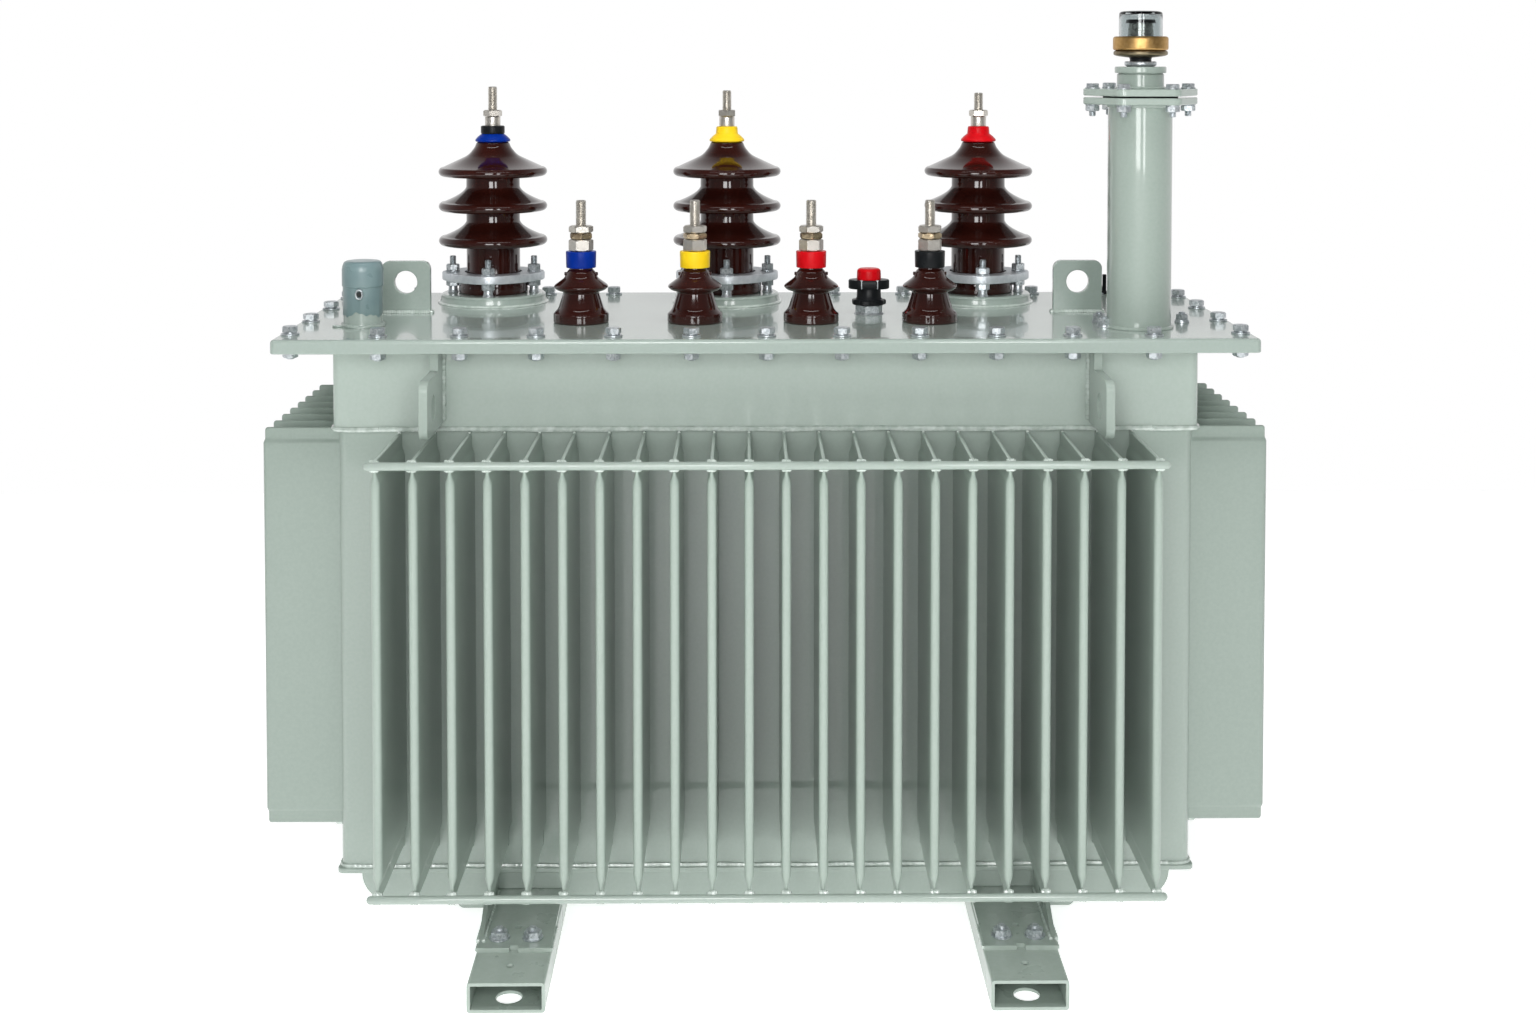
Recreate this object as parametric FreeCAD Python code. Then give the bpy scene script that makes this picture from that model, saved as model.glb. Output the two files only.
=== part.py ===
"""Oil-filled three-phase power transformer with corrugated cooling walls.

The origin is on the ground, midway between the two skids. +X runs along the
tank's long side, +Y from the low-voltage side to the high-voltage side, and
+Z is up. Every size is in millimetres.
"""
import FreeCAD, Part
import math
import os

V = FreeCAD.Vector
UP = V(0, 0, 1)

# ---- Skids and base -------------------------------------------------------
gauge = 550.0                # distance between the two skids' centre lines
skid_length = 732.0
skid_width = 82.0
skid_height = 32.0
skid_wall = 3.5
anchor_inset = 28.0          # from the skid's end to the anchor hole's centre
anchor_hole_r = 14.0
skid_top_hole_r = 4.2
skid_top_hole_inset = 39.0   # from the skid's end to the small top hole

saddle_inset = 68.0          # from the skid's end to the saddle's
saddle_width = 80.0
saddle_t = 5.0
saddle_hole_r = 4.2
saddle_hole_inset = 50.0     # from the saddle's end to its drain hole
saddle_notch_w = 9.5
saddle_notch_d = 6.0
gusset_t = 5.0               # upright gusset on each saddle's outer edge
gusset_toe = 13.0            # from the saddle's end to the gusset's tapered toe
gusset_knee = 43.0           # from the toe to the gusset's knee
gusset_knee_h = 21.0         # height of the knee above the saddle
gusset_heel_h = 38.0         # height of the gusset where it meets the tank
skirt_t = 5.0
skirt_inset = 24.0           # from the tank's end to the skirt's
skirt_end_r = 34.0
skirt_clear = 22.0           # ground clearance of the skirt
skirt_lobe_w = 42.0          # lower lobe beside each saddle
skirt_lobe_h = 8.0

# ---- Tank -----------------------------------------------------------------
tank_length = 984.0
tank_depth = 300.0
tank_floor = 57.0            # underside of the tank's bottom plate
bottom_t = 6.0
bottom_lip = 4.0
wall_sheet_t = 3.0
wall_height = 512.0          # from the bottom plate to the collar
collar_height = 100.0        # from the walls up to the flange's top
collar_proud = 5.0           # collar stands this far outside the walls
collar_t = 6.0

# ---- Cooling fins ---------------------------------------------------------
fin_pitch = 40.0
fin_t = 10.2
fin_end_t = 3.2              # thickness where a fin is pressed flat
fin_flat = 12.0              # height of the pressed-flat end
fin_taper = 20.0             # height over which the fin swells again
fin_nose_r = 4.2
long_fin_margin = 72.0       # from the tank's corner to the outermost fin's middle
long_fin_depth = 155.0
long_fin_foot = 27.0         # from the bottom plate up to the fin
long_fin_head = 5.0          # from the fin up to the collar
end_fin_margin = 10.0
end_fin_depth = 87.0
end_fin_foot = 49.0
end_fin_head = 1.0
bar_r = 4.5
bar_overhang = 11.0          # past the outermost fin's middle
bar_inset = 5.5              # from the fins' top or bottom to the bar's axis

# ---- Flange, gasket and lid -----------------------------------------------
lid_overhang = 57.0          # past the collar, on every side
lid_t = 8.0
gasket_t = 2.0
flange_t = 6.0
lid_rim_t = 4.0              # turned-down rim round the lid
lid_edge_r = 4.0
rim_clear = 1.0              # between the rim and the flange inside it
lid_corner_r = 6.0

# ---- High-voltage bushings ------------------------------------------------
hv_x = (-348.0, -48.0, 275.0)
hv_inset = 92.0              # from the lid's back edge to the bushings' axes
boss_margin = 26.0           # the boss's foot beyond the porcelain's foot
boss_top_margin = 22.0
boss_h = 16.0
hv_foot_r = 44.0
hv_core_r = 34.0
hv_lip_r = 69.0
hv_lip_h = 10.5
hv_shed_z = (55.0, 99.5, 144.5)   # underside of each shed above the boss
hv_slope_h = 23.0
hv_neck_r = 21.0
hv_body_h = 189.0            # top of the porcelain above the boss
clamp_margin = 21.5          # the ring beyond the porcelain's foot
clamp_clear = 2.0            # between the ring's bore and the porcelain's core
clamp_z = 13.0               # underside of the clamp ring above the boss
clamp_t = 10.0
clamp_stud_gap = 3.0         # between the porcelain's foot and each stud
clamp_stud_r = 5.0
clamp_stud_h = 42.0
hv_cap_r = 22.5
hv_cap_top_r = 14.8
hv_cap_h = 20.0
hv_cap_skirt_h = 10.5
hv_stud_r = 6.0
hv_collar_r = 9.6
hv_collar_h = 12.5
hv_stud_h = (51.0, 46.0, 43.0)    # free height of each stud above its cap

# ---- Low-voltage bushings -------------------------------------------------
lv_x = (-219.0, -84.0, 54.0, 195.0)
lv_inset = 142.0             # from the lid's front edge
lv_base_r = 33.0
lv_base_h = 10.0
lv_waist_r = 21.5
lv_waist_z = 36.0
lv_lip_r = 32.5
lv_lip_h = 6.0
lv_shed_z = 39.5
lv_neck_r = 14.0
lv_neck_z = 60.0
lv_body_h = 65.0
lv_ring_r = 18.0
lv_ring_h = 20.0
lv_nut_af = 26.0
lv_nut_h = 14.0
lv_stud_r = 6.5
lv_stud_h = 60.0             # free height above the colour ring

# ---- Tap changer ----------------------------------------------------------
tap_x = 127.0
tap_y = 0.0
tap_base_r = 16.5
tap_base_h = 11.5
tap_flange_r = 21.0
tap_flange_h = 9.5
tap_body_r = 15.0
tap_body_h = 10.0
tap_wing_r = 25.0
tap_wing_h = 11.0
tap_cap_r = 15.0
tap_cap_h = 14.0

# ---- Thermometer pocket ---------------------------------------------------
pocket_inset = (82.0, 114.0)  # from the lid's left end and front edge
pocket_r = 24.0
pocket_body_h = 52.0
pocket_cap_h = 25.0

# ---- Lifting lugs ---------------------------------------------------------
lid_lug_inset = (113.0, 169.0)    # from the lid's left and right ends
lid_lug_y = 14.0
lid_lug_w = 60.0
lid_lug_h = 64.0
lid_lug_t = 10.0
lid_lug_hole_z = 38.0        # hole centre above the lid
lid_lug_corner_r = 10.0
lug_hole_r = 14.0
tank_lug_spacing = 750.0
tank_lug_t = 10.0
tank_lug_depth = 113.0
tank_lug_foot = 6.0          # from the corrugated wall's top to the lug
tank_lug_h = 65.0            # from its foot to its shoulder
tank_lug_neck_d = 38.0
tank_lug_hole_d = 71.0       # from the tank's wall to the hole's centre
tank_lug_hole_rise = 30.0    # from its foot to the hole's centre
tank_lug_corner_r = 12.0

# ---- Oil riser and level gauge --------------------------------------------
riser_inset = (119.0, 97.0)  # from the lid's right end and front edge
riser_r = 37.0
riser_wall = 3.0
riser_h = 268.0              # top of the lower flange above the lid
riser_flange_r = 68.0
riser_flange_t = 8.0
riser_gasket_gap = 2.0
riser_turn = 11.7            # angle of the flange's first corner
neck_r = 27.0
neck_h = 18.0
disc_r = 29.7
disc_h = 7.5
gauge_nut_r = 18.5
gauge_nut_h = 6.0
gauge_stem_r = 13.5
gauge_stem_h = 6.0
gauge_dish_r = 31.0
gauge_dish_h = 7.0
gauge_ring_r = 32.0
gauge_ring_h = 16.0
glass_r = 25.0
glass_wall = 2.5
glass_h = 30.0               # height of glass above its ring
glass_edge_r = 7.0
float_r = 15.0
float_h = 20.0

# ---- Worked-out places ----------------------------------------------------
anchor_spacing = skid_length - 2 * anchor_inset
saddle_length = skid_length - 2 * saddle_inset
saddle_top = skid_height + saddle_t
skirt_length = tank_length - 2 * skirt_inset
collar_length = tank_length + 2 * collar_proud
collar_depth = tank_depth + 2 * collar_proud
wall_foot = tank_floor + bottom_t
wall_top = wall_foot + wall_height
flange_top = wall_top + collar_height
flange_under = flange_top - flange_t
lid_under = flange_top + gasket_t
lid_top = lid_under + lid_t
lid_length = collar_length + 2 * lid_overhang
lid_depth = collar_depth + 2 * lid_overhang
long_fin_count = int((tank_length - 2 * long_fin_margin) // fin_pitch) + 1
end_fin_count = int((tank_depth - 2 * end_fin_margin) // fin_pitch) + 1
long_fin_z0 = wall_foot + long_fin_foot
long_fin_z1 = wall_top - long_fin_head
end_fin_z0 = wall_foot + end_fin_foot
end_fin_z1 = wall_top - end_fin_head
hv_y = lid_depth / 2 - hv_inset
lv_y = lv_inset - lid_depth / 2
pocket_x = pocket_inset[0] - lid_length / 2
pocket_y = pocket_inset[1] - lid_depth / 2
lid_lug_x = (lid_lug_inset[0] - lid_length / 2, lid_length / 2 - lid_lug_inset[1])
riser_x = lid_length / 2 - riser_inset[0]
riser_y = riser_inset[1] - lid_depth / 2
tank_lug_z0 = wall_top + tank_lug_foot
tank_lug_shoulder = tank_lug_z0 + tank_lug_h
tank_lug_hole_z = tank_lug_z0 + tank_lug_hole_rise
boss_top = lid_top + boss_h
boss_r = hv_foot_r + boss_margin
boss_top_r = hv_foot_r + boss_top_margin
clamp_r = hv_foot_r + clamp_margin
clamp_bore = hv_core_r + clamp_clear
clamp_stud_circle = 2 * (hv_foot_r + clamp_stud_gap + clamp_stud_r)
hv_top = boss_top + hv_body_h
lv_top = lid_top + lv_body_h
riser_top = lid_top + riser_h
cover_z = riser_top + riser_gasket_gap
neck_top = cover_z + riser_flange_t + neck_h
disc_top = neck_top + disc_h


# ---- Small helpers --------------------------------------------------------
def box(x0, x1, y0, y1, z0, z1):
    return Part.makeBox(x1 - x0, y1 - y0, z1 - z0, V(x0, y0, z0))


def block(length, depth, z0, z1, x=0.0, y=0.0):
    """A box centred on x and y."""
    return box(x - length / 2, x + length / 2, y - depth / 2, y + depth / 2, z0, z1)


def cylinder(r, z0, z1, x=0.0, y=0.0):
    return Part.makeCylinder(r, z1 - z0, V(x, y, z0))


def tube(r, bore, z0, z1, x=0.0, y=0.0):
    return cylinder(r, z0, z1, x, y).cut(cylinder(bore, z0 - 1, z1 + 1, x, y))


def hexagon(across_flats, z0, z1, x=0.0, y=0.0, turn=0.0):
    r = across_flats / math.sqrt(3)
    corners = [V(x + r * math.cos(math.radians(turn + 60 * k)),
                 y + r * math.sin(math.radians(turn + 60 * k)), z0) for k in range(7)]
    return Part.Face(Part.makePolygon(corners)).extrude(V(0, 0, z1 - z0))


def plate(points, direction):
    """A flat plate: the closed outline through the points, carried along direction."""
    outline = Part.makePolygon([V(*p) for p in points] + [V(*points[0])])
    return Part.Face(outline).extrude(direction)


def frame_ring(length, depth, wall_x, wall_y, z0, z1):
    """A rectangular frame, wall_x thick at its ends and wall_y along its sides."""
    inner = block(length - 2 * wall_x, depth - 2 * wall_y, z0 - 1, z1 + 1)
    return block(length, depth, z0, z1).cut(inner)


def line(a, b):
    return Part.LineSegment(V(a[0], 0, a[1]), V(b[0], 0, b[1])).toShape()


def arc(a, via, b):
    return Part.Arc(V(a[0], 0, a[1]), V(via[0], 0, via[1]), V(b[0], 0, b[1])).toShape()


def turned(edges, x, y):
    """A solid of revolution about the upright axis at x, y from profile edges."""
    face = Part.Face(Part.Wire(edges))
    body = face.revolve(V(0, 0, 0), UP, 360)
    body.translate(V(x, y, 0))
    return Part.Solid(Part.Shell(body.Faces)) if body.ShapeType != "Solid" else body


def edges_along(shape, axis, wanted=lambda centre: True):
    """The straight edges that run along an axis and whose centres are wanted."""
    return [e for e in shape.Edges if len(e.Vertexes) == 2 and wanted(e.CenterOfMass)
            and abs(getattr(e.tangentAt(e.FirstParameter), axis)) > 0.99]


def rounded_upright(shape, radius):
    """Round the upright edges at the corners of a plate."""
    return shape.makeFillet(radius, edges_along(shape, "z"))


def save(name, *solids):
    shape = solids[0] if len(solids) == 1 else Part.makeCompound(list(solids))
    shape.exportStep(os.path.join("parts", name + ".step"))


# ---- Base -----------------------------------------------------------------
def skid(side):
    """A rectangular tube that runs front to back, open at both ends."""
    x = side * gauge / 2
    outer = block(skid_width, skid_length, 0, skid_height, x)
    outer = outer.makeFillet(skid_wall, edges_along(outer, "y"))
    inner = block(skid_width - 2 * skid_wall, skid_length + 2, skid_wall,
                  skid_height - skid_wall, x)
    body = outer.cut(inner)
    for end in (-1, 1):
        body = body.cut(cylinder(anchor_hole_r, -1, skid_wall + 1, x, end * anchor_spacing / 2))
        top_y = end * (skid_length / 2 - skid_top_hole_inset)
        body = body.cut(cylinder(skid_top_hole_r, skid_height - skid_wall - 1,
                                 skid_height + 1, x, top_y))
    return body


def saddle(side):
    """The flat plate bolted on a skid, with a tapered gusset at each outer end."""
    x = side * gauge / 2
    body = block(saddle_width, saddle_length, skid_height, saddle_top, x)
    for end in (-1, 1):
        tip = end * saddle_length / 2
        body = body.cut(block(saddle_notch_w, 2 * saddle_notch_d, skid_height - 1,
                              saddle_top + 1, x, tip))
        body = body.cut(cylinder(saddle_hole_r, skid_height - 1, saddle_top + 1, x,
                                 tip - end * saddle_hole_inset))
    toe = saddle_length / 2 - gusset_toe
    knee = toe - gusset_knee
    heel = tank_depth / 2 + bottom_lip
    outline = [(toe, saddle_top), (knee, saddle_top + gusset_knee_h),
               (heel, saddle_top + gusset_heel_h), (heel, saddle_top)]
    outer_x = x + side * saddle_width / 2
    for end in (-1, 1):
        gusset = plate([(outer_x, end * y, z) for y, z in outline], V(-side * gusset_t, 0, 0))
        body = body.fuse(gusset)
    return body.removeSplitter()


def skirt(side):
    """An upright plate under the tank's long edge, notched over the saddles."""
    end_x = skirt_length / 2
    y0 = min(side * tank_depth / 2, side * (tank_depth / 2 - skirt_t))
    y1 = y0 + skirt_t
    notch = max(skid_width, saddle_width) / 2
    body = box(-end_x, end_x, y0, y1, skirt_clear, tank_floor)
    body = body.makeFillet(skirt_end_r, edges_along(body, "y", lambda c: c.z < skirt_clear + 1))
    for hand in (-1, 1):
        middle = hand * gauge / 2
        x0, x1 = sorted((middle, middle + hand * (notch + skirt_lobe_w)))
        lobe = box(x0, x1, y0, y1, skirt_clear - skirt_lobe_h, saddle_top)
        tip = edges_along(lobe, "y", lambda c: c.z < skirt_clear)
        body = body.fuse(lobe.makeFillet(skirt_lobe_h, tip))
        body = body.cut(box(middle - notch, middle + notch, y0 - 1, y1 + 1, 0, saddle_top))
    return body.removeSplitter()


# ---- Tank -----------------------------------------------------------------
def fin(depth, z0, z1):
    """One fin standing towards -Y from the plane y = 0, centred on x = 0.

    Seen from the front it is pressed flat at its top and bottom; seen from
    above its nose is rounded.
    """
    half, tip = fin_t / 2, fin_end_t / 2
    side = [(tip, z0), (tip, z0 + fin_flat), (half, z0 + fin_flat + fin_taper),
            (half, z1 - fin_flat - fin_taper), (tip, z1 - fin_flat), (tip, z1)]
    outline = [(x, 0, z) for x, z in side] + [(-x, 0, z) for x, z in reversed(side)]
    slab = plate(outline, V(0, -depth, 0))
    plan = box(-half, half, -depth, 0, z0 - 1, z1 + 1)
    nose = edges_along(plan, "z", lambda c: c.y < -1)
    return slab.common(plan.makeFillet(fin_nose_r, nose))


def fin_bank(count, depth, z0, z1, wall, turn):
    """A row of equal fins on the wall that lies that far from the tank's middle.

    The row is made at the front and then turned about the upright axis.
    """
    first = -(count - 1) / 2 * fin_pitch
    fins = []
    for k in range(count):
        one = fin(depth, z0, z1)
        one.translate(V(first + k * fin_pitch, -wall, 0))
        one.rotate(V(0, 0, 0), UP, turn)
        fins.append(one)
    return fins


def long_fins(side):
    return fin_bank(long_fin_count, long_fin_depth, long_fin_z0, long_fin_z1,
                    tank_depth / 2, 0 if side < 0 else 180)


def end_fins(side):
    return fin_bank(end_fin_count, end_fin_depth, end_fin_z0, end_fin_z1,
                    tank_length / 2, -90 if side < 0 else 90)


def shell():
    """The four wall sheets that carry the fins, bent and welded into one ring."""
    return frame_ring(tank_length, tank_depth, wall_sheet_t, wall_sheet_t, wall_foot, wall_top)


def fin_bars(side):
    """The two round bars welded across the fins' noses, near top and bottom."""
    half = (long_fin_count - 1) / 2 * fin_pitch + bar_overhang
    y = side * (tank_depth / 2 + long_fin_depth + bar_r)
    bars = []
    for z in (long_fin_z0 + bar_inset, long_fin_z1 - bar_inset):
        bars.append(Part.makeCylinder(bar_r, 2 * half, V(-half, y, z), V(1, 0, 0)))
    return bars


def tank_bottom():
    body = block(tank_length + 2 * bottom_lip, tank_depth + 2 * bottom_lip,
                 tank_floor, wall_foot)
    return rounded_upright(body, 2 * bottom_lip)


def collar():
    return frame_ring(collar_length, collar_depth, collar_t, collar_t, wall_top, flange_top)


def flange():
    """The rim welded round the collar, that the lid is bolted to."""
    inset = lid_rim_t + rim_clear
    length = lid_length - 2 * inset
    depth = lid_depth - 2 * inset
    return frame_ring(length, depth, (length - collar_length) / 2,
                      (depth - collar_depth) / 2, flange_under, flange_top)


def gasket():
    inset = lid_rim_t + rim_clear
    length = lid_length - 2 * inset
    depth = lid_depth - 2 * inset
    return frame_ring(length, depth, (length - collar_length) / 2 + collar_t,
                      (depth - collar_depth) / 2 + collar_t, flange_top, lid_under)


def lid():
    """The lid plate with its rim turned down over the gasket and flange."""
    body = rounded_upright(block(lid_length, lid_depth, flange_under, lid_top), lid_corner_r)
    rim = [e for e in body.Edges if e.BoundBox.ZMin > lid_top - 0.1]
    body = body.makeFillet(lid_edge_r, rim)
    return body.cut(block(lid_length - 2 * lid_rim_t, lid_depth - 2 * lid_rim_t,
                          flange_under - 1, lid_under))


def lid_lug(x):
    """An upright lifting plate along X, with rounded top corners and an eye."""
    y0 = lid_lug_y - lid_lug_t / 2
    body = box(x - lid_lug_w / 2, x + lid_lug_w / 2, y0, y0 + lid_lug_t,
               lid_top, lid_top + lid_lug_h)
    top = edges_along(body, "y", lambda c: c.z > lid_top + 1)
    eye = Part.makeCylinder(lug_hole_r, lid_lug_t + 2, V(x, y0 - 1, lid_top + lid_lug_hole_z),
                            V(0, 1, 0))
    return body.makeFillet(lid_lug_corner_r, top).cut(eye)


def tank_lug(hand, side):
    """A hooked lifting plate square to the tank's wall, under the flange."""
    x = hand * tank_lug_spacing / 2 - tank_lug_t / 2
    wall = collar_depth / 2
    out = tank_depth / 2 + tank_lug_depth
    neck = tank_depth / 2 + tank_lug_neck_d
    outline = [(x, wall, tank_lug_z0), (x, out, tank_lug_z0), (x, out, tank_lug_shoulder),
               (x, neck, tank_lug_shoulder), (x, neck, flange_under), (x, wall, flange_under)]
    body = plate(outline, V(tank_lug_t, 0, 0))
    nose = edges_along(body, "x", lambda c: c.y > out - 1)
    body = body.makeFillet(tank_lug_corner_r, nose)
    hole_y = tank_depth / 2 + tank_lug_hole_d
    body = body.cut(Part.makeCylinder(lug_hole_r, tank_lug_t + 2, V(x - 1, hole_y, tank_lug_hole_z),
                                      V(1, 0, 0)))
    if side < 0:
        body = body.mirror(V(0, 0, 0), V(0, 1, 0))
    return body


# ---- Bushings -------------------------------------------------------------
def shed_edges(core, lip, z, lip_h, slope_h, top_r, start):
    """Profile of one shed: flat underside, round lip, hollow slope up to top_r."""
    edge = lip - lip_h / 2
    a = (core, z)
    if start != a:
        first = [line(start, a)]
    else:
        first = []
    b = (edge, z)
    c = (edge, z + lip_h)
    d = (top_r, z + lip_h + slope_h)
    middle = (top_r + (edge - top_r) * 0.42, z + lip_h + slope_h * 0.36)
    return first + [line(a, b), arc(b, (lip, z + lip_h / 2), c), arc(c, middle, d)], d


def hv_insulator(x):
    """Porcelain with a foot under the clamp ring and three equal sheds."""
    foot_top = boss_top + clamp_z
    at = (hv_core_r, foot_top)
    edges = [line((0, boss_top), (hv_foot_r, boss_top)),
             line((hv_foot_r, boss_top), (hv_foot_r, foot_top)),
             line((hv_foot_r, foot_top), at)]
    for rise in hv_shed_z[:-1]:
        more, at = shed_edges(hv_core_r, hv_lip_r, boss_top + rise, hv_lip_h,
                              hv_slope_h, hv_core_r, at)
        edges += more
    last = boss_top + hv_shed_z[-1]
    top_slope = hv_top - last - hv_lip_h
    more, at = shed_edges(hv_core_r, hv_lip_r, last, hv_lip_h, top_slope, hv_neck_r, at)
    edges += more + [line(at, (0, hv_top)), line((0, hv_top), (0, boss_top))]
    return turned(edges, x, hv_y)


def boss(x):
    """Raised ring of the lid that the bushing is clamped on."""
    return Part.makeCone(boss_r, boss_top_r, boss_h, V(x, hv_y, lid_top))


def clamp(x):
    """The clamp ring with its four studs."""
    z = boss_top + clamp_z
    body = tube(clamp_r, clamp_bore, z, z + clamp_t, x, hv_y)
    for k in range(4):
        angle = math.radians(90 * k)
        sx = x + clamp_stud_circle / 2 * math.cos(angle)
        sy = hv_y + clamp_stud_circle / 2 * math.sin(angle)
        body = body.fuse(cylinder(clamp_stud_r, boss_top, boss_top + clamp_stud_h, sx, sy))
    return body


def hv_cap(x):
    """A flared colour cap, bored for the stud."""
    z1 = hv_top + hv_cap_h
    shoulder = hv_top + hv_cap_skirt_h
    edges = [line((hv_stud_r, hv_top), (hv_cap_r, hv_top)),
             arc((hv_cap_r, hv_top), (hv_cap_r - 1.5, hv_top + hv_cap_skirt_h * 0.6),
                 (hv_cap_top_r, shoulder)),
             line((hv_cap_top_r, shoulder), (hv_cap_top_r, z1)),
             line((hv_cap_top_r, z1), (hv_stud_r, z1)),
             line((hv_stud_r, z1), (hv_stud_r, hv_top))]
    return turned(edges, x, hv_y)


def hv_terminal(x, free_height):
    """The threaded stud with the round collar and nut on the cap."""
    z1 = hv_top + hv_cap_h
    body = cylinder(hv_stud_r, hv_top, z1 + free_height, x, hv_y)
    body = body.fuse(cylinder(hv_collar_r, z1, z1 + hv_collar_h, x, hv_y))
    return body


def lv_insulator(x):
    """Porcelain with a drum base, a waist and one shed."""
    z = lid_top
    at = (lv_waist_r, z + lv_waist_z)
    rim = lid_top + lv_base_h
    edges = [line((0, z), (lv_base_r, z)), line((lv_base_r, z), (lv_base_r, rim)),
             arc((lv_base_r, rim), (lv_base_r - 3.5, rim + 12), at)]
    slope = lv_neck_z - lv_shed_z - lv_lip_h
    more, at = shed_edges(lv_waist_r, lv_lip_r, z + lv_shed_z, lv_lip_h, slope, lv_neck_r, at)
    top = (lv_neck_r, lv_top)
    edges += more + [line(at, top), line(top, (0, lv_top)), line((0, lv_top), (0, z))]
    return turned(edges, x, lv_y)


def lv_ring(x):
    return tube(lv_ring_r, lv_stud_r, lv_top, lv_top + lv_ring_h, x, lv_y)


def lv_terminal(x):
    """The stud and the tall nut that bears on the colour ring."""
    seat = lv_top + lv_ring_h
    stud = cylinder(lv_stud_r, lv_top, seat + lv_stud_h, x, lv_y)
    return stud.fuse(hexagon(lv_nut_af, seat, seat + lv_nut_h, x, lv_y, 12))


# ---- Tap changer and thermometer pocket -----------------------------------
def tap_changer():
    """Metal base, black body with two wings, and the red cap."""
    z1 = lid_top + tap_base_h
    z2 = z1 + tap_flange_h
    z3 = z2 + tap_body_h
    z4 = z3 + tap_wing_h
    base = cylinder(tap_base_r, lid_top, z1, tap_x, tap_y)
    body = cylinder(tap_flange_r, z1, z2, tap_x, tap_y)
    body = body.fuse(cylinder(tap_body_r, z2, z3, tap_x, tap_y))
    body = body.fuse(cylinder(tap_wing_r, z3, z4, tap_x, tap_y))
    cap = cylinder(tap_cap_r, z4, z4 + tap_cap_h, tap_x, tap_y)
    return base, body, cap


def pocket():
    z1 = lid_top + pocket_body_h
    z2 = z1 + pocket_cap_h
    body = cylinder(pocket_r, lid_top, z1, pocket_x, pocket_y)
    cap = cylinder(pocket_r, z1, z2, pocket_x, pocket_y)
    rim = [e for e in cap.Edges if e.CenterOfMass.z > z2 - 0.1]
    return body, cap.makeFillet(5, rim)


# ---- Oil riser and level gauge --------------------------------------------
def riser_flange(z0, z1):
    """A six-cornered flange, its corners cut round."""
    across = riser_flange_r * math.sqrt(3)
    body = hexagon(across, z0, z1, riser_x, riser_y, riser_turn)
    return rounded_upright(body, 12)


def riser_pipe():
    body = cylinder(riser_r, lid_top, riser_top, riser_x, riser_y)
    body = body.fuse(riser_flange(riser_top - riser_flange_t, riser_top))
    bore = cylinder(riser_r - riser_wall, lid_top - 1, riser_top + 1, riser_x, riser_y)
    return body.cut(bore)


def riser_gasket():
    return tube(riser_r + 6, riser_r - riser_wall, riser_top, cover_z, riser_x, riser_y)


def riser_cover():
    body = riser_flange(cover_z, cover_z + riser_flange_t)
    body = body.fuse(cylinder(neck_r, cover_z, neck_top, riser_x, riser_y))
    return body.fuse(cylinder(disc_r, neck_top, disc_top, riser_x, riser_y))


def level_gauge():
    """Level gauge: metal body, brass ring, glass dome and the float inside."""
    z1 = disc_top + gauge_nut_h
    z2 = z1 + gauge_stem_h
    z3 = z2 + gauge_dish_h
    z4 = z3 + gauge_ring_h
    x, y = riser_x, riser_y
    body = hexagon(gauge_nut_r * math.sqrt(3), disc_top, z1, x, y, 10)
    body = body.fuse(cylinder(gauge_stem_r, z1, z2, x, y))
    dish = Part.makeCone(gauge_stem_r, gauge_dish_r, gauge_dish_h * 0.6, V(x, y, z2))
    body = body.fuse(dish)
    body = body.fuse(cylinder(gauge_dish_r, z2 + gauge_dish_h * 0.6, z3, x, y))
    ring = tube(gauge_ring_r, glass_r, z3, z4, x, y)
    outer = cylinder(glass_r, z3, z4 + glass_h, x, y)
    rim = [e for e in outer.Edges if e.CenterOfMass.z > z4 + glass_h - 0.1]
    glass = outer.makeFillet(glass_edge_r, rim)
    glass = glass.cut(cylinder(glass_r - glass_wall, z3 - 1, z4 + glass_h - glass_edge_r, x, y))
    rod_top = z4 + float_h
    bobbin = cylinder(float_r, z3, rod_top, x, y)
    return body, ring, glass, bobbin


# ---- Build every node -----------------------------------------------------
os.makedirs("parts", exist_ok=True)

save("skids", skid(-1), skid(1))
save("skid_saddles", saddle(-1), saddle(1))
save("tank_skirts", skirt(-1), skirt(1))
save("tank_bottom", tank_bottom())
save("tank_shell", shell())
save("front_fins", *long_fins(-1))
save("back_fins", *long_fins(1))
save("left_fins", *end_fins(-1))
save("right_fins", *end_fins(1))
save("front_fin_bars", *fin_bars(-1))
save("back_fin_bars", *fin_bars(1))
save("tank_collar", collar())
save("tank_flange", flange())
save("gaskets", gasket(), riser_gasket())
save("lid", lid())
save("lid_lugs", *[lid_lug(x) for x in lid_lug_x])
save("tank_lugs", *[tank_lug(hand, side) for hand in (-1, 1) for side in (-1, 1)])

save("hv_bosses", *[boss(x) for x in hv_x])
save("hv_clamps", *[clamp(x) for x in hv_x])
save("hv_terminals", *[hv_terminal(x, h) for x, h in zip(hv_x, hv_stud_h)])
for number, x in enumerate(hv_x, 1):
    save("hv_insulator_%d" % number, hv_insulator(x))
    save("hv_cap_%d" % number, hv_cap(x))

save("lv_terminals", *[lv_terminal(x) for x in lv_x])
for number, x in enumerate(lv_x, 1):
    save("lv_insulator_%d" % number, lv_insulator(x))
    save("lv_ring_%d" % number, lv_ring(x))

for name, solid in zip(("tap_base", "tap_body", "tap_cap"), tap_changer()):
    save(name, solid)
for name, solid in zip(("pocket_body", "pocket_cap"), pocket()):
    save(name, solid)

save("riser_pipe", riser_pipe())
save("riser_cover", riser_cover())
for name, solid in zip(("gauge_body", "gauge_ring", "gauge_glass", "gauge_float"), level_gauge()):
    save(name, solid)
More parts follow.
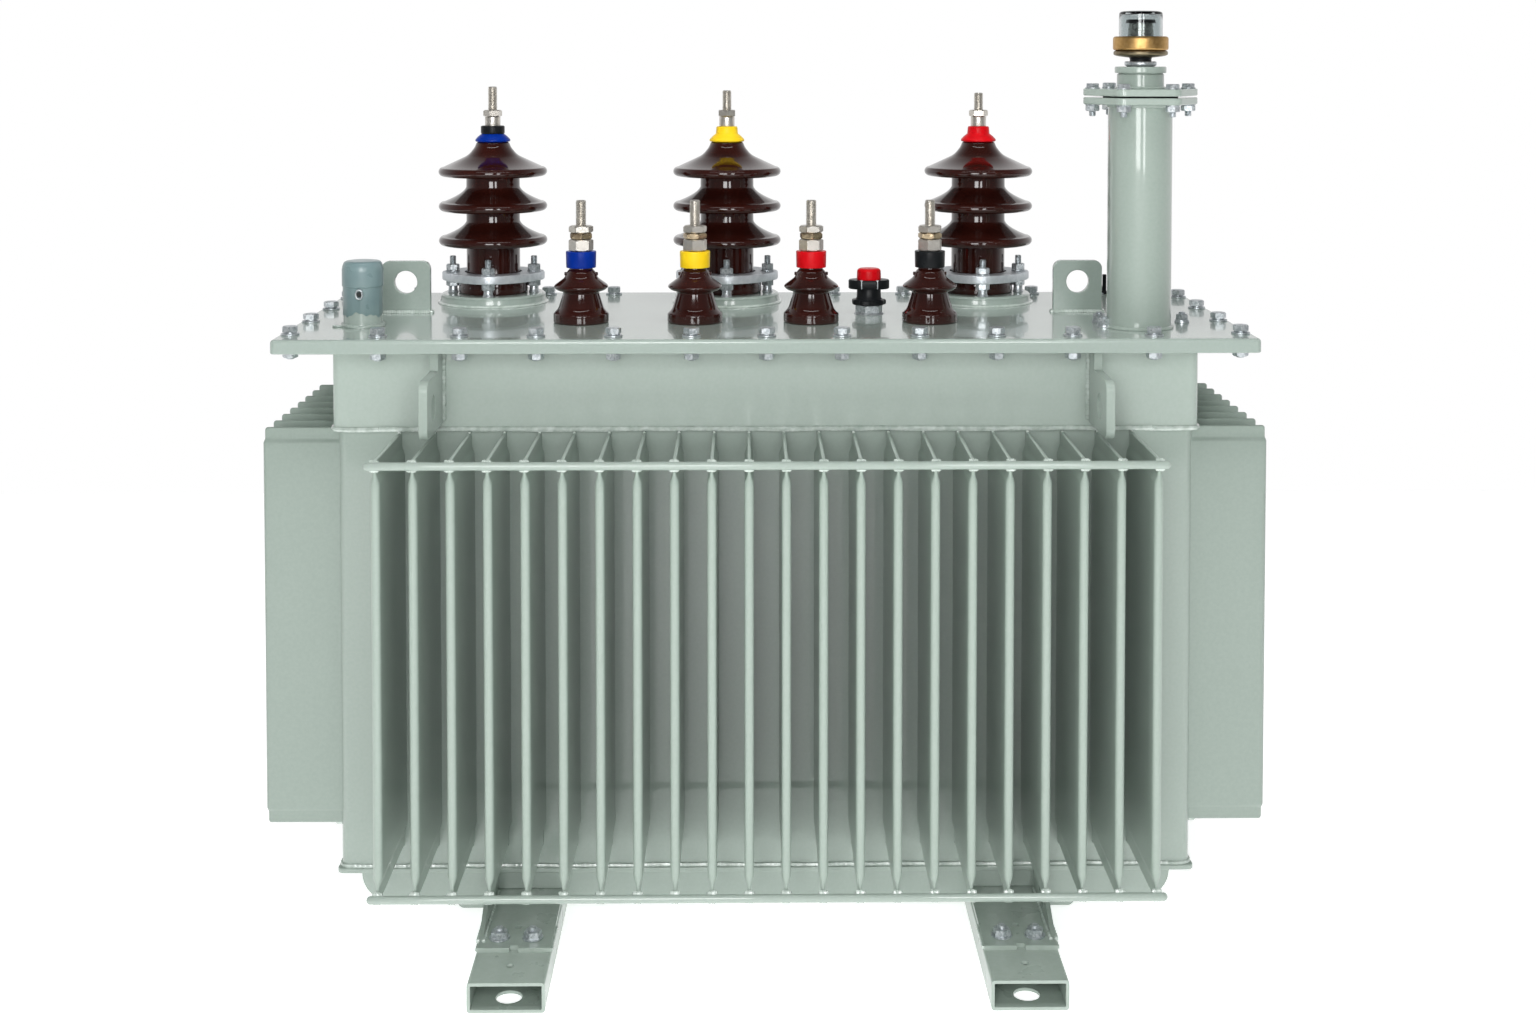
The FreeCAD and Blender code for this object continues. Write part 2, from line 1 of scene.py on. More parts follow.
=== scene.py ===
# %% [markdown]
# # An oil-filled power transformer, piece by piece
#
# The shape of this transformer is already fixed by a CAD model: a tank with
# pressed cooling fins, a bolted lid, seven porcelain bushings and two skids.
# The lesson loads that model as a frame and builds, in the same place and to
# the same size, the surfaces and finishes that the CAD solids leave out:
# rounded sheet edges, threads, nuts, weld beads, glaze, zinc and paint. The
# bosses, porcelain sheds, clamp studs and riser flange are drawn slightly off
# the CAD model.

# %% Load the frame
import math
import bmesh
import bpy
import numpy as np
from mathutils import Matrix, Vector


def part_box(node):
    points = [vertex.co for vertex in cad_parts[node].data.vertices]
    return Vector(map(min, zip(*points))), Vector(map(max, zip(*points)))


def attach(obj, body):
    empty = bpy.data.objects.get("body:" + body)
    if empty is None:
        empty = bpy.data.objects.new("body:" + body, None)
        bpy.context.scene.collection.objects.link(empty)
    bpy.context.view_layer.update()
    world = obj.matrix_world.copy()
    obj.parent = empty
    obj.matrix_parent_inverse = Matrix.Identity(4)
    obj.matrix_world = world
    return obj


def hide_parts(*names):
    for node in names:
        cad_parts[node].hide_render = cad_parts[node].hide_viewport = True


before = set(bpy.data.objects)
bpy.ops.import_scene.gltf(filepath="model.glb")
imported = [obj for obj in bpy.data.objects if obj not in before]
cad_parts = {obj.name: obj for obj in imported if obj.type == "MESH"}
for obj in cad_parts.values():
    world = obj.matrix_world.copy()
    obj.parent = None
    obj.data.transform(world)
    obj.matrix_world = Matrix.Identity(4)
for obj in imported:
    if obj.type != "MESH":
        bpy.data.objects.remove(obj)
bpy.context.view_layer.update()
MM = 0.001


def span(node):
    """A CAD node's lowest and highest corners, in millimetres."""
    low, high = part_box(node)
    return np.array(low) / MM, np.array(high) / MM


def centre(node):
    """The x and y of a CAD node's middle, in millimetres."""
    low, high = span(node)
    return (low + high)[:2] / 2


print("frame loaded:", len(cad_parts), "CAD nodes")

# %% [markdown]
# ## From points to meshes
#
# Nearly every part here can be written as a surface P(u, v): a profile spun
# round an axis, an outline stacked upwards, a ring carried along a path. Such
# a surface is one array of points, so numpy works it out whole. It could be
# modelled by hand with extrude and bevel, but a formula keeps each size where
# it can be read. Points that fall on each other, such as a pole, are merged,
# which closes the surface. Drawings are in millimetres, as in a workshop, and
# `piece` turns them into metres when the Blender object is made.

# %% Surfaces, joins and copies
def surface(points, wrap_u=False, wrap_v=False):
    """Vertices and four-sided faces of points[u, v]; coinciding points become one."""
    rows, columns = points.shape[:2]
    index = np.arange(rows * columns).reshape(rows, columns)
    if wrap_u:
        index = np.vstack([index, index[:1]])
    if wrap_v:
        index = np.hstack([index, index[:, :1]])
    faces = np.stack([index[:-1, :-1], index[1:, :-1], index[1:, 1:], index[:-1, 1:]], -1)
    flat = points.reshape(-1, 3)
    _, first, back = np.unique(np.round(flat, 4), axis=0, return_index=True, return_inverse=True)
    return flat[first], back.reshape(-1)[faces.reshape(-1, 4)]


def joined(*shapes):
    """Several shapes as one: vertices are stacked and faces are renumbered."""
    starts = np.cumsum([0] + [len(v) for v, _ in shapes[:-1]])
    return (np.vstack([v for v, _ in shapes]),
            np.vstack([f + s for (_, f), s in zip(shapes, starts)]))


def copies(shape, places, turns=0.0):
    """A copy of the shape at each place (x, y, z), turned about its upright axis."""
    verts, faces = shape
    places = np.atleast_2d(np.asarray(places, float))
    turns = np.broadcast_to(turns, len(places))
    c, s = np.cos(turns)[:, None], np.sin(turns)[:, None]
    x = c * verts[:, 0] - s * verts[:, 1] + places[:, :1]
    y = s * verts[:, 0] + c * verts[:, 1] + places[:, 1:2]
    z = verts[:, 2] + places[:, 2:3]
    shift = np.arange(len(places))[:, None, None] * len(verts)
    return np.stack([x, y, z], -1).reshape(-1, 3), (faces + shift).reshape(-1, 4)


def laid_back(shape):
    """The shape with its own z axis laid along world y."""
    verts, faces = shape
    return verts[:, [0, 2, 1]], faces


def upside_down(shape):
    """The shape turned over, so that what pointed up hangs down."""
    verts, faces = shape
    return verts * (1, -1, -1), faces


def polar(r, a, z, wrap_u=False):
    """P = (r cos a, r sin a, z), closed round the upright axis."""
    points = np.stack([r * np.cos(a), r * np.sin(a), z + 0 * a], -1)
    return surface(points, wrap_u, wrap_v=True)


FULL_TURN = 2 * np.pi
QUARTERS = [(sx, sy) for sx in (-1, 1) for sy in (-1, 1)]
print("surface helpers ready")

# %% [markdown]
# ## Making a Blender object
#
# Weighted normals keep large flat faces flat beside their small rounded
# edges, which is how bent and painted sheet metal looks.

# %% The piece function
def triangles_and_quads(faces):
    """Faces as lists, with a repeated corner left out and slivers dropped."""
    same = faces == np.roll(faces, -1, axis=1)
    quads = faces[~same.any(1)]
    merged = faces[same.sum(1) == 1]
    keep = ~same[same.sum(1) == 1]
    return quads.tolist() + merged[keep].reshape(-1, 3).tolist()


def finish_mesh(mesh, sharp):
    """Outward normals, then smooth shading broken at edges sharper than that angle."""
    bm = bmesh.new()
    bm.from_mesh(mesh)
    bmesh.ops.recalc_face_normals(bm, faces=bm.faces)
    bm.to_mesh(mesh)
    bm.free()
    mesh.shade_smooth()
    mesh.set_sharp_from_angle(angle=math.radians(sharp))


def placed(name, mesh, finish, stands_for):
    obj = bpy.data.objects.new(name, mesh)
    bpy.context.scene.collection.objects.link(obj)
    mesh.materials.clear()
    mesh.materials.append(finish)
    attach(obj, "root")
    if stands_for:
        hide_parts(*stands_for)
    return obj


def piece(name, shape, finish, stands_for=(), sharp=38, weighted=False):
    """A finished object from a shape drawn in millimetres."""
    verts, faces = shape
    mesh = bpy.data.meshes.new(name)
    mesh.from_pydata((verts * MM).tolist(), [], triangles_and_quads(faces))
    finish_mesh(mesh, sharp)
    obj = placed(name, mesh, finish, stands_for)
    if weighted:
        obj.modifiers.new("flat faces stay flat", "WEIGHTED_NORMAL").keep_sharp = True
    print(f"{name}: {len(mesh.polygons)} faces")
    return obj


def softened(name, node, width, finish, segments=2):
    """The CAD node's own shape with its sharp edges rounded over by width mm."""
    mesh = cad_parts[node].data.copy()
    mesh.name = name
    bm = bmesh.new()
    bm.from_mesh(mesh)
    bmesh.ops.remove_doubles(bm, verts=bm.verts, dist=1e-5)
    bmesh.ops.dissolve_limit(bm, angle_limit=math.radians(1), verts=bm.verts, edges=bm.edges)
    bm.to_mesh(mesh)
    bm.free()
    if mesh.has_custom_normals:
        mesh.attributes.remove(mesh.attributes["custom_normal"])
    finish_mesh(mesh, 38)
    obj = placed(name, mesh, finish, (node,))
    bevel = obj.modifiers.new("rolled edge", "BEVEL")
    bevel.width, bevel.segments, bevel.limit_method = width * MM, segments, "ANGLE"
    bevel.angle_limit = math.radians(40)
    obj.modifiers.new("flat faces stay flat", "WEIGHTED_NORMAL").keep_sharp = True
    print(f"{name}: edges of {node} rounded by {width} mm")
    return obj


# %% [markdown]
# ## Profiles and outlines
#
# A turned part starts as a half profile of (radius, height) points and a plate
# as an outline of (x, y) points. `eased` rounds their corners: each corner is
# cut back along both sides and bridged by a parabola, so no edge is razor
# sharp. `turned` spins a profile, `stacked` piles outlines, and `ribbon`
# carries a round section along a path, for bars and weld beads.

# %% Profiles, lathes, stacks and ribbons
def eased(points, radius, steps=3, closed=False):
    """Each corner p becomes (1-t)^2 a + 2t(1-t) p + t^2 b, with a and b radius away from p."""
    p = np.asarray(points, float)
    before, after = np.roll(p, 1, 0) - p, np.roll(p, -1, 0) - p
    reach = np.broadcast_to(np.asarray(radius, float), len(p)).copy()
    if not closed:
        reach[[0, -1]] = 0
    length_b, length_a = np.linalg.norm(before, axis=1), np.linalg.norm(after, axis=1)
    cut = np.minimum(reach, 0.45 * np.minimum(length_b, length_a))[:, None]
    a = p + before / np.maximum(length_b, 1e-9)[:, None] * cut
    b = p + after / np.maximum(length_a, 1e-9)[:, None] * cut
    t = np.linspace(0, 1, steps + 1)[None, :, None]
    curve = (1 - t) ** 2 * a[:, None] + 2 * t * (1 - t) * p[:, None] + t ** 2 * b[:, None]
    flat = curve.reshape(-1, p.shape[1])
    step = np.linalg.norm(np.diff(flat, axis=0), axis=1)
    return flat[np.r_[True, step > 1e-6]]


def swoop(a, control, b, steps=10):
    """A parabola from a to b pulled towards the control point."""
    t = np.linspace(0, 1, steps)[:, None]
    return (1 - t) ** 2 * np.array(a) + 2 * t * (1 - t) * np.array(control) + t ** 2 * np.array(b)


def turned(profile, at=(0, 0), sides=48, z=0.0, loop=False):
    """P = (r cos a, r sin a, z): the profile's points (r, z) spun once round the upright axis."""
    p = np.asarray(profile, float)
    a = np.linspace(0, FULL_TURN, sides, endpoint=False)
    points = np.stack([p[:, :1] * np.cos(a) + at[0], p[:, :1] * np.sin(a) + at[1],
                       np.repeat(p[:, 1:] + z, sides, 1)], -1)
    return surface(points, wrap_u=loop, wrap_v=True)


def lathe(points, radii, sides=48, steps=3):
    """A profile eased and turned in one go."""
    return turned(eased(points, radii, steps), sides=sides)


def disc(r, z0, z1, edge=1.0, sides=48):
    """A closed drum with eased rims."""
    return lathe([(0, z0), (r, z0), (r, z1), (0, z1)], edge, sides)


def ring(r, bore, z0, z1, at=(0, 0), edge=0.6, sides=40):
    """A flat ring with eased rims: its section is a closed loop."""
    section = eased([(bore, z0), (r, z0), (r, z1), (bore, z1)], edge, 3, closed=True)
    return turned(section, at, sides, loop=True)


def rounded_rectangle(length, depth, radius, steps=5):
    """Corner centres plus radius (cos a, sin a), a quarter turn to each corner."""
    a = np.linspace(0, np.pi / 2, steps)
    corner = np.stack([np.cos(a), np.sin(a)], -1) * radius
    quarter = [(1, 1), (-1, 1), (-1, -1), (1, -1)]
    rows = []
    for sx, sy in quarter:
        arc = corner * (sx, sy) + (sx * (length / 2 - radius), sy * (depth / 2 - radius))
        rows.append(arc if sx * sy > 0 else arc[::-1])
    return np.vstack(rows)


def stacked(outlines, heights, closed=False):
    """P(u, v) = (outline_v(u), height_v): outlines with the same point count piled up."""
    levels = [np.column_stack([o, np.full(len(o), h)]) for o, h in zip(outlines, heights)]
    return surface(np.array(levels), wrap_u=closed, wrap_v=True)


def ribbon(path, radius, sides=8, ripple=0.0, pitch=3.0, closed=False):
    """A round section along the path; its radius r(1 + ripple |sin|) swells like weld scales."""
    p = np.asarray(path, float)
    if closed:
        along = np.roll(p, -1, 0) - np.roll(p, 1, 0)
    else:
        along = np.gradient(p, axis=0)
    along /= np.linalg.norm(along, axis=1)[:, None]
    up = np.where(np.abs(along[:, 2:]) > 0.9, [[1.0, 0, 0]], [[0, 0, 1.0]])
    side = np.cross(along, up)
    side /= np.linalg.norm(side, axis=1)[:, None]
    up = np.cross(side, along)
    run = np.r_[0, np.cumsum(np.linalg.norm(np.diff(p, axis=0), axis=1))]
    r = radius * (1 + ripple * (np.abs(np.sin(np.pi * run / pitch)) - 0.6))
    if not closed:
        t = np.clip(np.minimum(run, run[-1] - run) / radius, 0, 1)
        r = r * np.sqrt(t * (2 - t))
    a = np.linspace(0, FULL_TURN, sides, endpoint=False)
    cos, sin = np.cos(a)[None, :, None], np.sin(a)[None, :, None]
    section = cos * side[:, None] + sin * up[:, None]
    return surface(p[:, None] + r[:, None, None] * section, wrap_u=closed, wrap_v=True)


def between(a, b, step=1.2):
    """Evenly spaced points from a to b."""
    a, b = np.array(a, float), np.array(b, float)
    count = max(3, int(np.linalg.norm(b - a) / step) + 1)
    return a + np.linspace(0, 1, count)[:, None] * (b - a)


def round_bead(r, z, size, step=0.05, ripple=0.22, pitch=3.0, wave=0.0):
    """A weld bead once round an upright pipe, at height z + wave sin 5a."""
    a = np.arange(0, FULL_TURN, step)
    path = np.column_stack([r * np.cos(a), r * np.sin(a), z + wave * np.sin(5 * a)])
    return ribbon(path, size, 8, ripple, pitch, closed=True)


print("profile helpers ready")

# %% [markdown]
# ## Finishes
#
# Seven kinds of surface make up the machine: grey-green enamel over steel,
# brown glazed porcelain, zinc plating, tinned copper, brass, moulded plastic
# and glass. Each is one Principled shader. What is the same all over goes on
# the shader's own sockets; what varies, such as the tone of the paint or the
# roughness of handled zinc, is worked out by noise at Object coordinates, so
# it sits still in the metal. Fine relief, like the waviness of sprayed
# enamel, is a bump of a few hundredths of a millimetre. The collar's enamel
# is painted lighter, as painted light, and the end fins' darker, as painted
# shade, to even out how this scene's lamps fall on them. A real tank has one
# paint. The weld beads' enamel drifts to near-white spots: painted glints.

# %% A finish from a few numbers
def linear(red, green, blue):
    """A screen colour, 0 to 255, as the linear colour that a shader takes."""
    c = np.array([red, green, blue]) / 255
    return tuple(np.where(c <= 0.04045, c / 12.92, ((c + 0.055) / 1.055) ** 2.4)) + (1.0,)


def node(tree, kind, **sockets):
    """A new shader node with its sockets set; an underscore stands for a space."""
    made = tree.nodes.new("ShaderNode" + kind)
    for socket, value in sockets.items():
        made.inputs[socket.replace("_", " ")].default_value = value
    return made


def texture(tree, kind, scale, **sockets):
    """A noise or cell pattern read at Object coordinates; scale is repeats in a metre."""
    made = node(tree, kind, Scale=scale, **sockets)
    tree.links.new(node(tree, "TexCoord").outputs["Object"], made.inputs["Vector"])
    return made.outputs["Color" if kind == "TexVoronoi" else "Fac"]


def mapped(tree, value, start, end, low, high, curve="SMOOTHSTEP"):
    """The range from start to end carried to the range from low to high."""
    made = node(tree, "MapRange", From_Min=start, From_Max=end, To_Min=low, To_Max=high)
    made.interpolation_type = curve
    tree.links.new(value, made.inputs["Value"])
    return made.outputs["Result"]


def spread(tree, value, low, high):
    """The middle of a pattern's range stretched from low to high."""
    return mapped(tree, value, 0.15, 0.85, low, high)


def finish(name, tone, other, patch, rough, grain=90.0, cells=False, relief=(), **steady):
    """A surface whose colour drifts from tone to other and whose roughness spans rough."""
    material = bpy.data.materials.new(name)
    material.use_nodes = True
    tree = material.node_tree
    link, shader = tree.links.new, tree.nodes["Principled BSDF"]
    for socket, value in steady.items():
        shader.inputs[socket.replace("_", " ")].default_value = value
    mix = node(tree, "Mix")
    mix.data_type = "RGBA"
    mix.inputs[6].default_value, mix.inputs[7].default_value = linear(*tone), linear(*other)
    pattern = (texture(tree, "TexVoronoi", patch) if cells
               else texture(tree, "TexNoise", patch, Detail=2.0))
    link(spread(tree, pattern, 0, 1), mix.inputs[0])
    link(mix.outputs[2], shader.inputs["Base Color"])
    link(spread(tree, texture(tree, "TexNoise", grain, Detail=4.0), *rough),
         shader.inputs["Roughness"])
    above = shader.inputs["Normal"]
    for scale, depth in reversed(relief):
        bump = node(tree, "Bump", Strength=1.0, Distance=depth * MM)
        link(texture(tree, "TexNoise", scale, Detail=2.0), bump.inputs["Height"])
        link(bump.outputs["Normal"], above)
        above = bump.inputs["Normal"]
    return material


enamel = finish("grey_green_enamel", (160, 173, 165), (155, 169, 160), 260, (0.28, 0.31), 12.0,
                relief=[(7, 0.06)], Coat_Weight=0.9, Coat_Roughness=0.04, Specular_IOR_Level=0.3)
fin_enamel = finish("fin_enamel", (158, 172, 163), (153, 168, 158), 260, (0.30, 0.32), 8.0,
                    relief=[(6, 0.03)], Coat_Weight=0.3, Coat_Roughness=0.10)
lid_enamel = finish("lid_enamel", (161, 174, 167), (156, 170, 162), 260, (0.19, 0.22), 12.0,
                    relief=[(7, 0.07)], Coat_Weight=0.6, Coat_Roughness=0.05)
# The collar's enamel is painted lighter than the rest: painted light, making up for the shade
# under the lid's overhang.
collar_painted_light_enamel = finish("collar_painted_light_enamel", (176, 189, 181), (171, 185, 176), 260, (0.28, 0.31), 12.0,
                       relief=[(7, 0.06)], Coat_Weight=0.6, Coat_Roughness=0.06)
# The end fins' enamel is painted darker than the rest: painted shade.
end_painted_shade_enamel = finish("end_fin_painted_shade_enamel", (147, 160, 152), (142, 156, 147), 260, (0.30, 0.32), 8.0,
                    relief=[(6, 0.03)], Coat_Weight=0.3, Coat_Roughness=0.10)
# The weld beads' enamel drifts from the paint's tone to near-white spots: painted glints on the
# beads.
bead_painted_glint_enamel = finish("bead_painted_glint_enamel", (166, 180, 171), (214, 224, 218), 110, (0.18, 0.24), 60.0,
                     relief=[(150, 0.05)], Coat_Weight=1.0, Coat_Roughness=0.05)
skid_enamel = finish("skid_enamel", (165, 178, 170), (158, 172, 162), 200, (0.26, 0.32), 30.0,
                     relief=[(26, 0.05), (320, 0.005)], Coat_Weight=0.3, Coat_Roughness=0.14)
pocket_enamel = finish("pocket_enamel", (126, 148, 149), (114, 137, 140), 40, (0.26, 0.36),
                       relief=[(60, 0.05), (420, 0.014)], Coat_Weight=0.3, Coat_Roughness=0.15)
glaze = finish("brown_glaze", (42, 15, 11), (54, 21, 16), 26, (0.07, 0.12), grain=30,
               relief=[(34, 0.07), (200, 0.002)], Coat_Weight=0.3, Coat_Roughness=0.04, IOR=1.5)
zinc = finish("zinc_plating", (216, 221, 224), (176, 184, 188), 420, (0.30, 0.44), grain=260,
              cells=True, relief=[(700, 0.010)], Metallic=0.72)
cast_zinc = finish("clamp_casting", (226, 231, 235), (206, 212, 218), 160, (0.34, 0.50), grain=240,
                   relief=[(520, 0.03)], Metallic=0.6)
tinned = finish("tinned_copper", (224, 220, 213), (204, 199, 190), 150, (0.28, 0.42), grain=300,
                relief=[(800, 0.008)], Metallic=0.85)
bronze = finish("bronze_nut", (206, 188, 158), (180, 160, 130), 160, (0.26, 0.40), grain=300,
                relief=[(800, 0.008)], Metallic=1.0)
brass = finish("cast_brass", (214, 176, 116), (190, 148, 88), 220, (0.34, 0.48), grain=320,
               relief=[(620, 0.03)], Metallic=1.0)
dull_brass = finish("dull_brass", (150, 138, 112), (122, 110, 88), 180, (0.30, 0.46), grain=300,
                    relief=[(600, 0.02)], Metallic=1.0)
print("metals, enamels and glaze mixed")

# %% Plastics, rubber and glass
def plastic(name, tone, other):
    """Moulded plastic: nearly even colour, faint flow marks and a satin skin."""
    return finish(name, tone, other, 60, (0.26, 0.34), grain=120,
                  relief=[(60, 0.02), (700, 0.002)], Specular_IOR_Level=0.14)


blue = plastic("blue_plastic", (2, 48, 150), (2, 42, 136))
yellow = plastic("yellow_plastic", (255, 218, 40), (248, 204, 26))
red = plastic("red_plastic", (214, 14, 26), (198, 10, 20))
black = plastic("black_plastic", (30, 32, 34), (20, 22, 24))
rubber = finish("black_rubber", (34, 36, 36), (24, 26, 26), 90, (0.5, 0.68), grain=400,
                relief=[(500, 0.02)])
glass = finish("gauge_glass", (214, 220, 220), (206, 213, 214), 20, (0.02, 0.04), grain=30,
               relief=[(40, 0.03)], Transmission_Weight=1.0, IOR=1.47)
silvered = finish("float_tube", (186, 188, 182), (160, 162, 156), 90, (0.22, 0.34), grain=200,
                  relief=[(300, 0.01)], Metallic=0.6)
print("plastics, rubber and glass mixed")

# %% [markdown]
# ## The tank's walls
#
# The four walls are one sheet-metal ring, and its corners are folded, not
# sharp. A rounded rectangle stacked upwards gives the outside, the same
# outline a wall's thickness smaller gives the inside, and closing the loop
# makes it a real sheet with two faces.

# %% Wall ring and tank floor
shell_low, shell_high = span("tank_shell")
WALL_SHEET, WALL_FOLD = 3.0, 10.0


def sheet_ring(low, high, sheet, fold, lip=0.6):
    """Rounded rectangles between two corners: outside up, over the top, inside down."""
    length, depth = (high - low)[:2]
    steps = [(lip, low[2]), (0, low[2] + lip), (0, high[2] - lip), (lip, high[2]),
             (sheet, high[2]), (sheet, low[2])]
    outlines = [rounded_rectangle(length - 2 * d, depth - 2 * d, max(fold - d, 1.0))
                for d, _ in steps]
    return stacked(outlines, [z for _, z in steps], closed=True)


piece("wall_sheets", sheet_ring(shell_low, shell_high, WALL_SHEET, WALL_FOLD),
      enamel, ("tank_shell",), weighted=True)

# %% [markdown]
# ## Cooling fins
#
# A fin is one fold of the wall's own sheet: an oil pocket about 10 mm thick
# whose top and bottom are pressed flat and welded shut. Extruding a box would
# lose the swell, so each fin is lofted. At height z its half thickness is
# h(z) = flat + (full - flat) S(t), where S is the smooth step 3t^2 - 2t^3 over
# the pressed ends, and its nose is a half round of that thickness. The sides
# are drawn in by a hair at mid depth, as a pressed pocket's are.

# %% One fin
FIN_SIDES, NOSE_STEPS = 6, 7
FIN_ROOT, CORNER_R = 1.5, 3.6      # how far a fin runs into the wall; its corners' radius


def fin(depth, z0, z1, full=5.1, flat=1.9, pressed=15.0, swell=12.5, dish=0.7, back=0.8):
    """Outline (+-h, y) with a round nose, drawn back a little where the ends are pressed flat."""
    lower = np.r_[0, 0.4, 1.2, 2.4, 3.6, pressed * 0.6, pressed + np.linspace(0, 1, 9) * swell,
                  pressed + np.linspace(1.6, 8, 5) * swell]
    z = np.r_[z0 + lower, (z1 - lower)[::-1]]
    rise = np.minimum(z - z0, z1 - z)
    t = np.clip((rise - pressed) / swell, 0, 1)
    swelled = t * t * (3 - 2 * t)
    half = (flat + (full - flat) * swelled) * np.clip(rise / 1.2, 0, 1) ** 0.5
    corner = CORNER_R - np.sqrt(CORNER_R ** 2 - np.clip(CORNER_R - rise, 0, CORNER_R) ** 2)
    reach = depth - back * (1 - swelled) - corner
    s = np.linspace(0, 1, FIN_SIDES)
    hollow = 1 - dish / full * np.sin(np.pi * s) ** 2 * t[:, None]
    side_y = FIN_ROOT - s * (reach[:, None] - half[:, None] + FIN_ROOT)
    a = np.linspace(0, np.pi, NOSE_STEPS + 2)[1:-1]
    nose_x = half[:, None] * np.cos(a)
    nose_y = -(reach[:, None] - half[:, None]) - half[:, None] * np.sin(a)
    x = np.hstack([half[:, None] * hollow, nose_x, -(half[:, None] * hollow)[:, ::-1]])
    y = np.hstack([side_y, nose_y, side_y[:, ::-1]])
    points = np.stack([x, y, np.broadcast_to(z[:, None], x.shape)], -1)
    return surface(points, wrap_v=True)


def fin_places(node, along, pitch=40.0):
    """Middles of the fins along x or y, worked back from the bank's own box."""
    low, high = span(node)
    half = (high - low)[along] / 2
    count = int(round((2 * half - 10.2) / pitch)) + 1
    return (np.arange(count) - (count - 1) / 2) * pitch


fin_x = fin_places("front_fins", 0)
front_low, front_high = span("front_fins")
end_low, end_high = span("left_fins")
wall_y, wall_x = shell_high[1], shell_high[0]
fin_depth, end_depth = wall_y * -1 - front_low[1], wall_x * -1 - end_low[0]
long_fin = fin(fin_depth, front_low[2], front_high[2])
print(f"{len(fin_x)} fins on each long wall, {fin_depth:.0f} mm deep")

# %% Four banks of fins
def bank(shape, along, wall, turn, z=0.0):
    """The same shape at every place along a wall, turned to face outwards."""
    c, s = math.cos(turn), math.sin(turn)
    places = [(c * x + s * wall, s * x - c * wall, z) for x in along]
    return copies(shape, places, turn)


end_fin = fin(end_depth, end_low[2], end_high[2], pressed=12.5, swell=6.0, back=1.9)
fin_y = fin_places("left_fins", 1)
# The end fins take the darker enamel, which is painted shade.
for side, shape, along, wall, turn, paint in (
        ("front", long_fin, fin_x, wall_y, 0.0, fin_enamel),
        ("back", long_fin, fin_x, wall_y, math.pi, fin_enamel),
        ("left", end_fin, fin_y, wall_x, -math.pi / 2, end_painted_shade_enamel),
        ("right", end_fin, fin_y, wall_x, math.pi / 2, end_painted_shade_enamel)):
    piece(side + "_fin_bank", bank(shape, along, wall, turn), paint, (side + "_fins",))

# %% [markdown]
# ## Bars across the fins, and their welds
#
# Two round bars on each long side keep the fins' noses in line. Every crossing
# has a small weld nugget below the bar and above it: a short ribbon whose
# radius ripples like weld scales.

# %% Fin bars
def rod(x0, x1, y, z, r):
    """A straight bar along x with rounded ends."""
    cap = r * np.array([0, 0.04, 0.15, 0.35, 0.65])
    x = np.r_[x0 + cap, np.linspace(x0 + r, x1 - r, 40), (x1 - cap)[::-1]]
    return ribbon(np.column_stack([x, np.full(50, y), np.full(50, z)]), r, 14)


for side in ("front", "back"):
    bars = side + "_fin_bars"
    low, high = span(bars)
    radius = (high[1] - low[1]) / 2
    bar_y, bar_z = (low[1] + high[1]) / 2, (low[2] + radius, high[2] - radius)
    rods = [rod(low[0], high[0], bar_y, z, radius) for z in bar_z]
    piece(bars + "_round", joined(*rods), enamel, (bars,), sharp=60)
    inward = -np.sign(bar_y)
    nugget = ribbon(between((-6, 0, 0), (6, 0, 0), 1.0), 2.9, 8, 0.2, 2.5)
    spots = [(x, bar_y + inward * radius * 0.8, z + off) for x in fin_x
             for z, offs in zip(bar_z, ((-4.0, 4.4), (-4.6, 3.4))) for off in offs]
    piece(side + "_fin_bar_welds", copies(nugget, spots), bead_painted_glint_enamel, (bars,))

# %% [markdown]
# ## Floor, collar and flange, and the seams between them
#
# The floor plate, the smooth collar above the fins and the bolting flange are
# plates whose CAD shapes are right. What they lack is the rolled edge that
# enamel leaves on steel, so `softened` bevels a copy of each by a fraction of
# a millimetre. The welds that join them are ribbons round the tank.

# %% Plates with rolled edges
for name, node_name, width in (("floor_plate", "tank_bottom", 1.2),
                               ("long_skirts", "tank_skirts", 1.0),
                               ("bolting_flange", "tank_flange", 0.8),
                               ("lifting_hooks", "tank_lugs", 1.2)):
    softened(name, node_name, width, enamel)
collar_low, collar_high = span("tank_collar")
# The collar takes the lighter enamel, which is painted light.
piece("smooth_collar", sheet_ring(collar_low, collar_high, 6.0, 9.0, 1.5),
      collar_painted_light_enamel, ("tank_collar",), weighted=True)

# %% Seam welds round the tank
def seam(length, depth, fold, z, r, ripple=0.22, step=2.0):
    """A weld bead round a rounded rectangle, its points spaced evenly along it."""
    outline = rounded_rectangle(length, depth, fold, 9)
    outline = np.vstack([outline, outline[:1]])
    run = np.r_[0, np.cumsum(np.linalg.norm(np.diff(outline, axis=0), axis=1))]
    s = np.arange(0, run[-1], step)
    path = np.column_stack([np.interp(s, run, outline[:, 0]), np.interp(s, run, outline[:, 1])])
    wander = 0.35 * np.sin(s / 37) + 0.25 * np.sin(s / 11.3)
    return ribbon(np.column_stack([path, z + wander]), r, 7, ripple, 3.1, closed=True)


tank_l, tank_d = 2 * wall_x, 2 * wall_y
collar_l, collar_d = 2 * collar_high[0], 2 * collar_high[1]
floor_top = span("tank_bottom")[1][2]
flange_under = span("tank_flange")[0][2]
welds = [seam(collar_l + 0.5, collar_d + 0.5, 10, collar_low[2] - 1.0, 3.1, 0.12),
         seam(tank_l + 1, tank_d + 1, 11, floor_top + 1.5, 2.6),
         seam(collar_l + 1, collar_d + 1, 10, flange_under - 1.0, 3.2)]
piece("tank_seam_welds", joined(*welds), bead_painted_glint_enamel, ("tank_shell",))

# %% Welds at the hooks and fin ends
def fillet_at(a, b, r=3.0, ripple=0.25):
    """A straight weld bead from a to b."""
    return ribbon(between(a, b), r, 8, ripple, 3.0)


